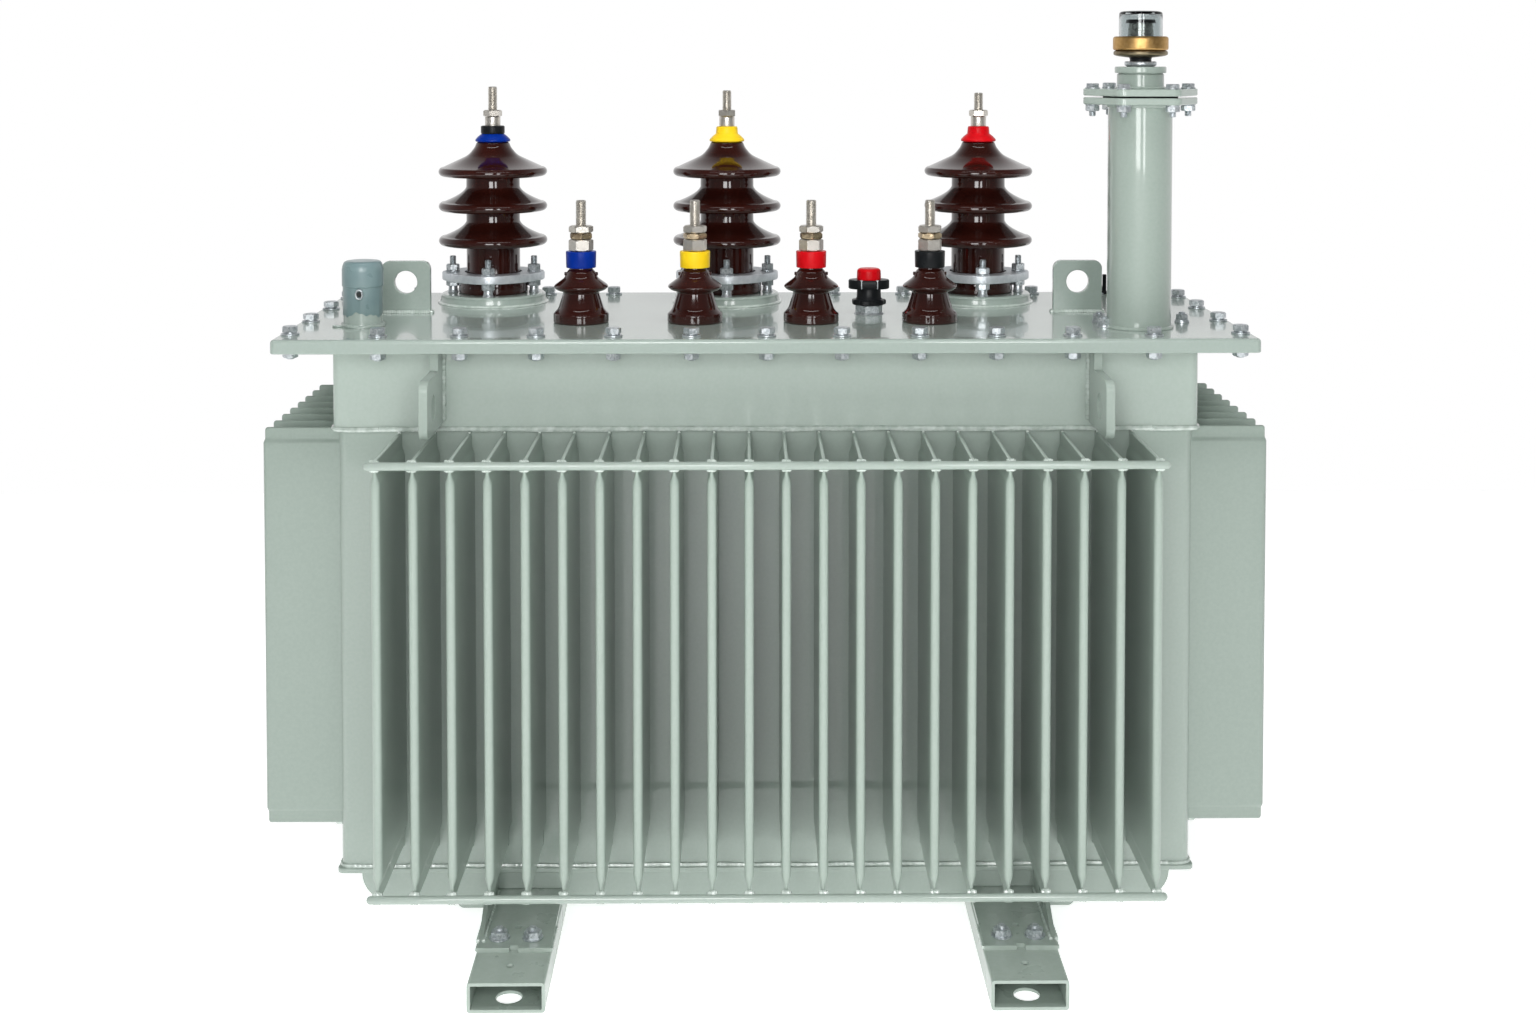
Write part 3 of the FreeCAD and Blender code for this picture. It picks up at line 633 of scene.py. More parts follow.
beads = []
HOOK_X, HOOK_HALF, LEDGE_HALF = 375.0, 5.0, 445.0
hook_foot = span("tank_lugs")[0][2]
for sx, sy in QUARTERS:
    for edge in (-1, 1):
        x = sx * HOOK_X + edge * (HOOK_HALF + 0.8)
        y = sy * (collar_high[1] + 0.8)
        beads.append(fillet_at((x, y, hook_foot + 2), (x, y, flange_under - 2)))
        beads.append(fillet_at((x, sy * (collar_high[1] + 2), flange_under - 0.8),
                               (x, sy * (wall_y + 36), flange_under - 0.8)))
top_bead = ribbon(between((0, 0, 0), (0, -9, 0), 1.0), 2.2, 7, 0.2, 2.4)
ledge = ribbon(between((-LEDGE_HALF, 0, 0), (LEDGE_HALF, 0, 0), 2.0), 2.7, 8, 0.1, 5.0)
for turn in (0.0, math.pi):
    for z in (front_high[2] - 0.48, front_low[2] + 0.48):
        beads.append(bank(top_bead, fin_x, wall_y - 1, turn, z))
    beads.append(bank(ledge, [0.0], wall_y + 6.5, turn, front_high[2] + 4.5))
for turn in (-math.pi / 2, math.pi / 2):
    for z in (end_high[2], end_low[2]):
        beads.append(bank(top_bead, fin_y, wall_x - 1, turn, z))
piece("hook_and_fin_welds", joined(*beads), bead_painted_glint_enamel, ("tank_lugs",))

# %% [markdown]
# ## Skids and saddles
#
# The machine stands on two rectangular tubes. Flat saddles, bolted down
# through them, carry the tank, and a tapered gusset ties each saddle's end to
# the tank. These too keep their CAD shape and gain rolled edges and beads.

# %% Skids, saddles and gusset beads
softened("skid_tubes", "skids", 0.8, skid_enamel)
softened("saddle_plates", "skid_saddles", 1.0, skid_enamel)
saddle_tip, skid_top = span("skid_saddles")[1][1], span("skids")[1][2]
SKID_X, SADDLE_HALF = 275.0, 40.0  # a skid's middle; half the width of the saddle on it
saddle_top, gusset_x = skid_top + 5.0, SKID_X + SADDLE_HALF
beads = []
for sx, sy in QUARTERS:
    for x in (gusset_x + 0.6, gusset_x - 5.6):
        beads.append(fillet_at((sx * x, sy * (saddle_tip - 13), saddle_top + 0.5),
                               (sx * x, sy * (wall_y + 8), saddle_top + 0.5), 2.4))
    for x in (SKID_X - SADDLE_HALF - 0.6, SKID_X + SADDLE_HALF + 0.6):
        beads.append(fillet_at((sx * x, sy * (saddle_tip - 4), skid_top + 0.6),
                               (sx * x, sy * (saddle_tip - 60), skid_top + 0.6), 2.0))
piece("saddle_welds", joined(*beads), bead_painted_glint_enamel, ("skid_saddles",))

# %% [markdown]
# ## The lid
#
# The lid is one plate whose rim is turned down over the flange. Its surface is
# a stack of rounded rectangles: up the rim, over the rolled edge, and in to
# the middle. Seen along its top a real plate isn't perfectly flat, which is
# what breaks up its reflections, so its enamel's relief is a long soft wave.

# %% Lid plate
LID = "lid_paint"
lid_low, lid_high = span("lid")
lid_top, half_l, half_d = lid_high[2], lid_high[0], lid_high[1]


def lid_plate(edge=4.0, rim=4.0, plate=8.0, corner=6.0, steps=6):
    """Inset and height pairs run from the top's middle over the edge, down and back under."""
    a = np.linspace(0, np.pi / 2, steps)
    rolled = [(edge - edge * math.sin(t), lid_top - edge + edge * math.cos(t)) for t in a]
    under = [(0, lid_low[2] + 1.2), (0.4, lid_low[2] + 0.4), (1.2, lid_low[2]),
             (rim, lid_low[2]), (rim, lid_top - plate)]
    steps_all = [(20.0, lid_top)] + rolled + under
    outlines = [rounded_rectangle(2 * (half_l - d), 2 * (half_d - d), max(corner - d, 0.8))
                for d, _ in steps_all]
    heights = [z for _, z in steps_all]
    top_middle, under_middle = outlines[0] * 0, outlines[-1] * 0
    return stacked([top_middle] + outlines + [under_middle],
                   [lid_top] + heights + [heights[-1]])


piece("lid_plate", lid_plate(), lid_enamel, ("lid",), weighted=True)
softened("lid_lifting_ears", "lid_lugs", 1.3, lid_enamel, 3)

# %% Beads at the lifting ears
beads = []
EAR_Y, EAR_HALF_T, EAR_HALF_L = 14.0, 5.0, 30.0
for ear_x in (113 - half_l, half_l - 169):
    for side in (-1, 1):
        y, z = EAR_Y + side * (EAR_HALF_T + 0.8), lid_top + 0.6
        beads.append(fillet_at((ear_x - EAR_HALF_L, y, z), (ear_x + EAR_HALF_L, y, z), 2.8))
        x, z = ear_x + side * (EAR_HALF_L + 0.8), lid_top + 0.8
        beads.append(fillet_at((x, EAR_Y - 6, z), (x, EAR_Y + 6, z), 3.0))
piece("ear_welds", joined(*beads), bead_painted_glint_enamel, ("lid_lugs",))

# %% [markdown]
# ## Hexagons, threads and bolts
#
# A bolt head is a hexagon prism cut by a cone, which leaves the curved
# chamfers that catch the light. In polar form that is simply
# r(a, z) = min(hexagon(a), cone(z)). A thread is r(a, z) = r - depth * w, where
# w is a triangle wave of z / pitch - a / 2 pi: a real helix, cut at its true
# pitch, not a stack of rings.

# %% Hexagon and thread surfaces
def hexagon(flats, z0, z1, top=True, bottom=False, sides=36):
    """r(a, z) = min(half flats / cos(a from a face's middle), chamfer cone at z)."""
    a = np.linspace(0, FULL_TURN, sides, endpoint=False)
    hexed = flats / 2 / np.cos(a % (np.pi / 3) - np.pi / 6)
    corner, face = flats / math.sqrt(3), 0.485 * flats
    drop = (corner - face) * 0.6
    up = [(z1 - drop, corner), (z1 - drop / 2, (corner + face) / 2), (z1, face)]
    down = [(z0, face), (z0 + drop / 2, (corner + face) / 2), (z0 + drop, corner)]
    rows = ([(z0, 0)] + (down if bottom else [(z0, corner)])
            + (up if top else [(z1, corner)]) + [(z1, 0)])
    r = np.minimum(hexed, np.array([limit for _, limit in rows])[:, None])
    z = np.repeat(np.array([[height] for height, _ in rows]), sides, 1)
    return polar(r, a, z)


def nut(flats, z0, z1, sides=36):
    """A hexagon chamfered at both ends."""
    return hexagon(flats, z0, z1, True, True, sides)


def thread(r, pitch, z0, z1, sides=20, per_turn=5):
    """r(a, z) = r - 0.6 pitch |2 frac(z / pitch - a / 2 pi) - 1|, run out to a cone at the tip."""
    z = np.linspace(z0, z1, max(4, int((z1 - z0) / pitch * per_turn) + 1))[:, None]
    a = np.linspace(0, FULL_TURN, sides, endpoint=False)[None]
    wave = np.abs(2 * ((z / pitch - a / (2 * np.pi)) % 1) - 1)
    radius = np.minimum(r - 0.6 * pitch * wave, r - 0.9 * pitch + (z1 - z) * 1.2)
    radius = np.vstack([0 * a, radius, 0 * a])
    z = np.vstack([[[z0]], z, [[z1]]])
    return polar(radius, a, z)


def bolt_head(flats=16.0, height=6.4, washer=10.5, thick=2.0):
    """Washer, spring washer and a chamfered head, standing on z = 0."""
    spring = thick + 1.8
    return joined(ring(washer, 6.2, 0, thick, sides=28),
                  ring(flats * 0.46, 6.2, thick, spring, sides=20),
                  hexagon(flats, spring, spring + height))


def nut_below(flats=15.6, height=7.5, washer=9.6, thick=2.0, tail=1.6, r=5.4, pitch=1.5):
    """Washer and nut hanging under z = 0, with the bolt's threaded end below them."""
    return joined(ring(washer, 6.2, -thick, 0, sides=28),
                  nut(flats, -thick - height, -thick),
                  upside_down(thread(r, pitch, 0, thick + height + tail, 18)))


print("fastener surfaces ready")

# %% Bolts round the lid
ZINC = "zinc"
rng = np.random.default_rng(7)
front_x = (-438, -346, -260, -173, -85, 0, 85, 173, 260, 346, 438)
back_x = (-452, -371, -284, -198, -102, -6, 91, 184, 269, 354, 440)
edge_y, end_x = half_d - 25.0, half_l - 14.0
spots = [(x, s * edge_y) for s, row in ((-1, front_x), (1, back_x)) for x in row]
spots += [(s * end_x, y) for s in (-1, 1) for y in (-171.0, -67.0, 44.0, 149.0)]
spots = np.array(spots)
turns = rng.uniform(0, np.pi / 3, len(spots))
heads = copies(bolt_head(), np.column_stack([spots, np.full(len(spots), lid_top)]), turns)
under = copies(nut_below(), np.column_stack([spots, np.full(len(spots), flange_under)]),
               turns + 0.4)
piece("lid_bolt_heads", heads, zinc, ("lid",), sharp=30)
piece("lid_bolt_nuts", under, zinc, ("tank_flange",), sharp=30)

# %% Small bolts beside the riser
ROD_TOP = 26.0
clip_bolt = joined(disc(8.6, 0, 2.2, edge=0.4, sides=24), ring(8.0, 4.4, 2.2, 3.8, sides=24),
                   nut(13.6, 3.8, 10.4), thread(4.0, 1.25, 4.0, 13.0, 16))
places = [(395, -81, lid_top), (394, -118, lid_top), (493, -82, lid_top)]
piece("riser_foot_bolts", copies(clip_bolt, places, (0.1, 0.5, 0.3)), zinc, ("lid",),
      sharp=30)
back_rod = joined(thread(3.0, 1.0, 1.0, ROD_TOP, 14), disc(5.4, 0, 4.0, sides=20))
piece("back_threaded_rod", copies(back_rod, (451, 187, lid_top)), black, ("lid",),
      sharp=30)

# %% Bolts on the saddles
spots = np.array([(sx * SKID_X + dx, sy * 274.0, saddle_top) for sx, sy in QUARTERS
                  for dx in (-18.2, 18.2)])
saddle_bolt = joined(ring(11.5, 5.2, 0, 2.0, sides=28), hexagon(17.0, 2.0, 8.6),
                     thread(5.0, 1.5, 6.0, 12.5, 18))
piece("saddle_bolts", copies(saddle_bolt, spots, rng.uniform(0, 1, len(spots))), zinc,
      ("skid_saddles",), sharp=30)

# %% [markdown]
# ## High-voltage bushings
#
# Each high-voltage bushing is one turned porcelain: a foot under the clamp
# ring, a core, and three sheds that throw rain clear. Its profile joins
# straight runs and parabolas. A shed has a flat underside with a drip edge, a
# thick round lip and a slope that sweeps in to the core. The glaze pools
# smooth over every corner, so all of them are eased.

# %% Porcelain profile
hv_spots = [centre(f"hv_insulator_{k}") for k in (1, 2, 3)]
hv_low, hv_high = span("hv_insulator_1")
boss_top, hv_top = hv_low[2], hv_high[2]
HV_CORE, HV_LIP, LIP_H = 34.0, 69.0, 11.5


def shed(z, slope, core=HV_CORE, lip=HV_LIP, thick=LIP_H):
    """From the core out under the shed, round its lip, then up the given slope."""
    edge = lip - thick * 0.5
    under = eased([(core, z - 5), (core, z), (lip - thick * 0.8, z - 0.6)], 3.0)
    a = np.linspace(-np.pi / 2, np.pi * 0.36, 9)
    nose = np.column_stack([edge + thick / 2 * np.cos(a), z + thick / 2 * (1 + np.sin(a))])
    return np.vstack([under, nose, slope + (0, z)])


def hv_profile():
    """The whole porcelain from the middle of its foot to the middle of its top."""
    foot = eased([(0, -3.8), (44, -3.8), (44, 12.5), (HV_CORE, 13.5), (HV_CORE, 40)],
                 [0, 2, 3, 2, 0])
    top = hv_top - boss_top
    hollow = swoop((64.6, 10.9), (36.0, 22.0), (HV_CORE, 31.0), 12)
    last = eased([(64.6, 10.9), (31.0, 26.8), (23.2, 36.5), (21.2, top - 147.6)], [0, 8, 6, 0], 6)
    sheds = [shed(57.6, hollow), shed(101.4, hollow), shed(145.8, last)]
    cap = eased([(21, top - 1.2), (19.8, top), (0, top)], 0.8)
    return np.vstack([foot] + sheds + [cap])


porcelain = turned(hv_profile(), sides=72)
for k, (x, y) in enumerate(hv_spots, 1):
    piece(f"hv_porcelain_{k}", copies(porcelain, (x, y, boss_top)), glaze,
          (f"hv_insulator_{k}",), sharp=60)

# %% [markdown]
# ## Bosses and clamps
#
# A boss is a low turret welded on the lid. It is drawn 12.4 mm high, not the
# CAD model's 16, and the porcelain reaches down to it. Over the foot lies a
# cast ring with four lobes, r(a) = waist + lobe * exp(-(d / w)^2) with d the
# angle to the nearest stud, and four studs in zinc pull it down.

# %% Boss, clamp ring and studs
boss_profile = eased([(0, 0), (70, 0), (67.4, 2.2), (66.4, 8.6), (66.8, 10.4), (63.8, 12.4),
                      (0, 12.4)], [0, 0.5, 2, 1.5, 1.2, 1.4, 0])
hv_feet = [(x, y, lid_top) for x, y in hv_spots]
bosses = copies(turned(boss_profile, sides=72), hv_feet)
foot_bead = round_bead(68.4, 0.6, 1.9, 0.03, 0.2, 3.2)
piece("bushing_bosses", bosses, lid_enamel, ("hv_bosses",), sharp=50)
piece("boss_welds", copies(foot_bead, hv_feet), bead_painted_glint_enamel, ("hv_bosses",))


def clamp_ring(z0, z1, bore=36.5, waist=60.5, lobe=5.0, width=0.33, sides=96):
    """Closed section loop whose outer radius swells at each stud."""
    a = np.linspace(0, FULL_TURN, sides, endpoint=False)[None]
    near = (a + np.pi / 4) % (np.pi / 2) - np.pi / 4
    outer = waist + lobe * np.exp(-(near / width) ** 2)
    share = np.array([0, 0.97, 1, 1, 0.97, 0])[:, None]
    z = np.array([z0, z0, z0 + 1.2, z1 - 1.2, z1, z1])[:, None]
    r = bore + share * (outer - bore)
    return polar(r, a, z, wrap_u=True)


stud = joined(thread(4.3, 1.25, -3.0, 43.0, 18), ring(8.8, 4.6, 23.0, 24.6, sides=24),
              nut(14.6, 24.6, 32.4), nut(15.0, 4.5, 12.8),
              lathe([(0, -4.2), (7.4, -4.2), (5.8, -0.8), (5.6, 5), (0, 5)], 0.8, 20))
STUD_CIRCLE = 52.0
ring_spots = [(x, y, boss_top) for x, y in hv_spots]
stud_spots = [(x + STUD_CIRCLE * math.cos(a), y + STUD_CIRCLE * math.sin(a), boss_top)
              for x, y in hv_spots for a in np.arange(4) * np.pi / 2]
piece("clamp_rings", copies(clamp_ring(13.0, 23.0), ring_spots), cast_zinc,
      ("hv_clamps",), weighted=True)
piece("clamp_studs", copies(stud, stud_spots, rng.uniform(0, 1, len(stud_spots))), zinc,
      ("hv_clamps",), sharp=30)

# %% [markdown]
# ## Colour caps and terminals
#
# A moulded cap shows the phase and keeps water off the porcelain's top. Its
# skirt flares like a bell. Above it stand a bright collar, a nut and the
# tinned stud with its cut thread.

# %% Caps
cap_colours = {1: blue, 2: yellow, 3: red}
bell = eased([(0, 0.2), (19, 0.2), (22.2, 0.9), (22.4, 3.2), (18.6, 7.4), (14.4, 10.6)],
             [0, 0.3, 1.2, 1.6, 2.5, 0])
tall = np.vstack([bell, eased([(14.2, 11.2), (13.6, 18.6), (12.8, 20), (0, 20)], [0, 1, 1, 0])])
short = np.vstack([bell, eased([(13.5, 11.2), (0, 11.4)], 0.2)])
for k, (x, y) in enumerate(hv_spots, 1):
    piece(f"hv_bell_{k}", copies(turned(short if k == 1 else tall, sides=56), (x, y, hv_top)),
          cap_colours[k], (f"hv_cap_{k}",), sharp=50)
drum = lathe([(0, 10.6), (14.6, 10.6), (15.2, 12), (15.2, 20), (14.2, 21), (0, 21)], 0.8)
x, y = hv_spots[0]
piece("hv_drum_1", copies(drum, (x, y, hv_top)), black, ("hv_cap_1",), sharp=50)

# %% High-voltage studs
terminals = []
CAP_TOP = 20.0
for (x, y), free in zip(hv_spots, (51.0, 46.0, 43.0)):
    parts = joined(disc(9.8, CAP_TOP, CAP_TOP + 12.4, edge=0.8, sides=36),
                   nut(21.0, CAP_TOP + 12.8, CAP_TOP + 21.0),
                   thread(6.1, 1.75, CAP_TOP + 10, CAP_TOP + free))
    terminals.append(copies(parts, (x, y, hv_top), x / 90))
piece("hv_studs", joined(*terminals), tinned, ("hv_terminals",), sharp=30)

# %% [markdown]
# ## Low-voltage bushings
#
# The low-voltage porcelain is a drum, a cone up to a waist, and one shed with
# a bell-shaped top. A coloured ring, two nuts with a bronze one between them
# and a threaded stud finish it.

# %% Low-voltage porcelain and colour rings
lv_spots = [centre(f"lv_insulator_{k}") for k in (1, 2, 3, 4)]
lv_low, lv_high = span("lv_insulator_1")
lv_height = lv_high[2] - lv_low[2]


def lv_profile():
    """Corners from the foot's middle to the top's, then the radius that each is eased by."""
    corners = [(0, 0), (32.0, 0), (32.8, 1.4), (32.8, 11.0), (29.8, 13.4), (26.9, 17.2),
               (21.2, 35.4), (22.8, 36.9), (28.9, 38.7), (32.5, 42.5), (30.9, 44.9), (20.4, 52.6),
               (18.4, 56.0), (17.0, 60.0), (13.8, 63.4), (13.6, lv_height), (0, lv_height)]
    radii = [0, 0.8, 1.2, 1.6, 3, 3, 2, 1, 3, 2.2, 1.5, 4, 3, 3, 1.5, 0.2, 0]
    return eased(corners, radii, 5)


lv_body = turned(lv_profile(), sides=64)
ears = joined(*[copies(disc(2.4, 55.4, 59.6, edge=1.2, sides=14), (s * 17.6, 0, 0))
                for s in (-1, 1)])
lv_porcelain = joined(lv_body, ears)
ring_colours = (blue, yellow, red, black)
ring_section = eased([(7.5, 0.1), (17.6, 0.1), (18, 19.6), (7.5, 19.6)], [0.3, 0.8, 1.0, 0.3], 3,
                     closed=True)
for k, (x, y) in enumerate(lv_spots):
    piece(f"lv_porcelain_{k + 1}", copies(lv_porcelain, (x, y, lid_top)), glaze,
          (f"lv_insulator_{k + 1}",), sharp=60)
    ring_foot = span(f"lv_ring_{k + 1}")[0][2]
    piece(f"lv_colour_ring_{k + 1}", turned(ring_section, (x, y), 48, ring_foot, loop=True),
          ring_colours[k], (f"lv_ring_{k + 1}",), sharp=50)

# %% Low-voltage studs and nuts
seat = span("lv_ring_1")[1][2]
studs = joined(nut(25.6, 0, 13.7), nut(25.2, 21.7, 29.8),
               thread(6.4, 1.75, 12.0, 60.0))
middle_nut = nut(24.6, 14.2, 21.2)
lv_turns = np.array([0.21, 0.35, 0.16, 0.27])
lv_seats = [(x, y, seat) for x, y in lv_spots]
piece("lv_studs", copies(studs, lv_seats, lv_turns), tinned, ("lv_terminals",),
      sharp=30)
piece("lv_bronze_nuts", copies(middle_nut, lv_seats, lv_turns + 0.5), bronze,
      ("lv_terminals",), sharp=40)

# %% [markdown]
# ## Tap changer
#
# The tap changer sets the winding ratio. On a zinc nut sit a fluted flange, a
# body and a winged handle in black, under a red cap. The flutes are a wave on
# the radius, and the handle is an outline that swells to two wings.

# %% Tap changer
tap_z = span("tap_body")[0][2] - lid_top


def waved(profile, count, depth, sides=72):
    """P's radius is r (1 - depth * ripple(count * a)) where the profile's third value is 1."""
    p = np.asarray(profile, float)
    a = np.linspace(0, FULL_TURN, sides, endpoint=False)[None]
    ripple = np.clip(np.cos(count * a), -0.2, 0.6) / 0.6
    r = p[:, :1] * (1 - depth * p[:, 2:] * (1 - ripple) / 2)
    return polar(r, a, p[:, 1:2])


def handle(z0, z1, wing=25.0, waist=15.5, sides=72):
    """r(a) = waist + (wing - waist) |cos a|^2.2: a round grip with two wings."""
    a = np.linspace(0, FULL_TURN, sides, endpoint=False)[None]
    outline = waist + (wing - waist) * np.abs(np.cos(a)) ** 2.2
    share = np.array([0, 0.96, 1, 1, 0.96, 0])[:, None]
    z = np.array([z0, z0, z0 + 1, z1 - 1, z1, z1])[:, None]
    return polar(share * outline, a, z)


here = (*centre("tap_base"), lid_top)
tap_foot = joined(lathe([(0, 0), (18.6, 0), (16.2, 2.2), (0, 2.2)], 0.5, 40),
                  hexagon(29.5, 2.2, tap_z, True, False, 48))
flange_profile = [(0, 11.5, 0), (19.5, 11.5, 1), (21, 12.6, 1), (21, 16.6, 1), (20, 17.6, 1),
                  (16.4, 18.4, 0), (15, 20.4, 0), (14.6, 31, 0), (0, 31, 0)]
cap = lathe([(0, 41.6), (14.2, 41.6), (14.9, 43), (14.5, 53.4), (12.2, 55.8), (0, 56)],
            [0, .5, 1, 2, 1.5, 0])
screws = copies(disc(2.0, 31.6, 42.3, edge=0.5, sides=16),
                [(sx * 9.5, -13.2, 0) for sx in (-1, 1)])
grip = joined(waved(flange_profile, 9, 0.10), handle(31.0, 42.0))
for name, shape, stuff, slot, cad_node, sharp in (
        ("tap_nut", copies(tap_foot, (0, 0, 0), 0.2), zinc, ZINC, "tap_base", 30),
        ("tap_grip", grip, black, "tap_black", "tap_body", 35),
        ("tap_screws", screws, zinc, ZINC, "tap_body", 40),
        ("tap_button", cap, red, "tap_red", "tap_cap", 50)):
    piece(name, copies(shape, here), stuff, (cad_node,), sharp)

# %% [markdown]
# ## Thermometer pocket
#
# A short closed tube stands on the lid for a thermometer. Its cap is pushed
# over it and held by a small screw. The blue-grey coat of the cap runs down
# the tube and ends there in an uneven edge.

# %% Pocket
pocket_low, pocket_high = span("pocket_cap")
joint = pocket_low[2] - lid_top
tube_profile = eased([(0, 0), (25.0, 0), (22.6, 2.6), (22.4, joint - 1.6), (21.8, joint - .6),
                      (0, joint - .6)], [0, .5, 1.5, .8, .5, 0])
hood_top = pocket_high[2] - lid_top
hood = eased([(0, joint - 6), (22.6, joint - 6), (24, joint - 4.6), (24, hood_top - 9),
              (21.5, hood_top - 0.6), (12, hood_top), (0, hood_top)], [0, .5, 1, 3, 5, 4, 0], 5)


def ragged_sleeve(r, z0, z1, sides=72):
    """A thin coat round the tube; its lower edge is z0 + 2.2 sin 3a + 1.4 sin 7a + 0.8 sin 17a."""
    a = np.linspace(0, FULL_TURN, sides, endpoint=False)
    torn = z0 + 2.2 * np.sin(3 * a) + 1.4 * np.sin(7 * a + 1) + 0.8 * np.sin(17 * a)
    rows = [(r - 1.2, torn), (r - 0.2, torn), (r, torn + 0.4), (r, torn * 0 + z1),
            (r - 1.2, torn * 0 + z1)]
    radii, heights = np.array([[q] for q, _ in rows]), np.array([z for _, z in rows])
    return polar(radii, a, heights, wrap_u=True)


spot = (*centre("pocket_body"), lid_top)
socket = laid_back(ring(4.6, 2.9, 0, 3.6, edge=0.8, sides=24))
screw_at = (0.5, -26.2, joint - 12.5)
screw = copies((socket[0] * (1, 1, 1.4), socket[1]), screw_at)
socket_floor = copies(laid_back(disc(3.0, 0.8, 3.4, edge=0.2, sides=20)), screw_at)
weld = round_bead(23.4, 1.2, 2.6, 0.06, 0.3, 4.0, wave=0.8)
tab = copies(disc(7.0, 0, 2.2, edge=0.6, sides=20), (-27, -8, 0))
tube = joined(turned(tube_profile, sides=56), weld, tab)
coat = ragged_sleeve(23.1, 15.0, joint - 1.0)
for name, shape, stuff, slot, cad_node, sharp in (
        ("pocket_tube", tube, lid_enamel, LID, "pocket_body", 50),
        ("pocket_sleeve", coat, pocket_enamel, "pocket_paint", "pocket_body", 50),
        ("pocket_hood", turned(hood, sides=56), pocket_enamel, "pocket_paint", "pocket_cap", 50),
        ("pocket_screw", screw, zinc, ZINC, "pocket_cap", 40),
        ("pocket_screw_socket", socket_floor, rubber, ZINC, "pocket_cap", 40)):
    piece(name, copies(shape, spot), stuff, (cad_node,), sharp)

# %% [markdown]
# ## Oil riser
#
# The riser is a pipe welded on the lid, closed by two six-cornered flanges
# with a gasket and six bolts between them, turned by -0.9 degrees, not the
# CAD model's 11.7. On the cover a short neck carries the oil level gauge.

# %% Riser pipe and flanges
riser_x, riser_y = centre("riser_cover")
pipe_top = span("riser_pipe")[1][2]
cover_low, cover_high = span("riser_cover")
RISER_R, PIPE_WALL, FLANGE_T, TURN = 37.0, 3.0, 8.0, math.radians(-0.9)
riser_here = (riser_x, riser_y, 0)


def six_corners(z0, z1, bore=0.0, across=68.0, soft=12.0, edge=0.9, per=9):
    """A hexagon with corner arcs of radius soft, turned by TURN, its rims eased."""
    t = TURN + np.arange(6) * np.pi / 3
    fan = np.linspace(-np.pi / 6, np.pi / 6, per)
    reach = across - soft / math.cos(math.pi / 6)
    x = reach * np.cos(t)[:, None] + soft * np.cos(t[:, None] + fan)
    y = reach * np.sin(t)[:, None] + soft * np.sin(t[:, None] + fan)
    outline = np.column_stack([x.ravel(), y.ravel()])
    size = np.linalg.norm(outline, axis=1)[:, None]
    inner = outline / size * bore
    steps = [(edge, z0), (0, z0 + edge), (0, z1 - edge), (edge, z1)]
    outlines = [inner] + [outline * (1 - d / size) for d, _ in steps] + [inner]
    return stacked(outlines, [z0] + [z for _, z in steps] + [z1], closed=bore > 0)


flange_z = pipe_top - FLANGE_T
pipe_section = eased([(RISER_R - PIPE_WALL, lid_top), (RISER_R, lid_top),
                      (RISER_R, flange_z + 1), (RISER_R - PIPE_WALL, flange_z + 1)], 0.3, 2,
                     closed=True)
pipe = turned(pipe_section, sides=72, loop=True)
piece("riser_tube", copies(joined(pipe, six_corners(flange_z, pipe_top, RISER_R - PIPE_WALL),
                                  round_bead(RISER_R + 0.6, lid_top + 1.0, 2.4),
                                  round_bead(RISER_R + .6, flange_z - 1.0, 2.6)), riser_here),
      enamel, ("riser_pipe",), sharp=40, weighted=True)
NECK_R, neck_z = 27.0, cover_low[2] + FLANGE_T
disc_z = cover_high[2] - 7.5
neck = lathe([(0, neck_z - 1), (NECK_R, neck_z - 1), (NECK_R, disc_z - 1.6),
              (25.6, disc_z - .8), (25.6, disc_z), (29.2, disc_z), (29.6, disc_z + 1),
              (29.6, cover_high[2] - 1), (28.8, cover_high[2]), (0, cover_high[2])], 0.5, 60)
piece("riser_lid", copies(joined(six_corners(cover_low[2], neck_z), neck,
                                 round_bead(NECK_R + .5, neck_z + .6, 2.0)), riser_here),
      enamel, ("riser_cover",), sharp=40, weighted=True)

# %% Riser bolts and gaskets
BOLT_CIRCLE = 55.5
corners = TURN + np.arange(6) * np.pi / 3
bolt_spots = [(riser_x + BOLT_CIRCLE * math.cos(t), riser_y + BOLT_CIRCLE * math.sin(t))
              for t in corners]
riser_bolt = joined(hexagon(14.0, 0, 6.0), ring(8.6, 4.6, -0.1, 1.4, sides=24))
riser_nut = joined(ring(8.6, 4.6, -1.4, 0, sides=24), nut(14.5, -8.0, -1.4),
                   upside_down(thread(4.1, 1.25, 0, 14.0, 18)))
piece("riser_bolt_heads", copies(riser_bolt, [(x, y, neck_z) for x, y in bolt_spots],
                                 rng.uniform(0, 1, 6)), zinc, ("riser_cover",), sharp=30)
piece("riser_bolt_nuts", copies(riser_nut, [(x, y, flange_z) for x, y in bolt_spots],
                                rng.uniform(0, 1, 6)), zinc, ("riser_pipe",), sharp=30)
lid_under = span("tank_flange")[1][2]
seal = sheet_ring(np.array([-half_l + 6, -half_d + 6, lid_under]),
                  np.array([half_l - 6, half_d - 6, lid_under + 2.0]), 60.0, 3.0, 0.2)
riser_seal = ring(43.0, 34.0, pipe_top, cover_low[2], riser_here[:2], 0.3, 56)
piece("rubber_gaskets", joined(seal, riser_seal), rubber, ("gaskets",))

# %% [markdown]
# ## Oil level gauge
#
# A lock nut and a black stem carry a dish and a brass ring, in which a glass
# dome is held. The dome is a true shell: one closed profile with an outer and
# an inner wall, because glass without thickness doesn't bend light. Inside it
# stands the silvered tube in which the float rises.

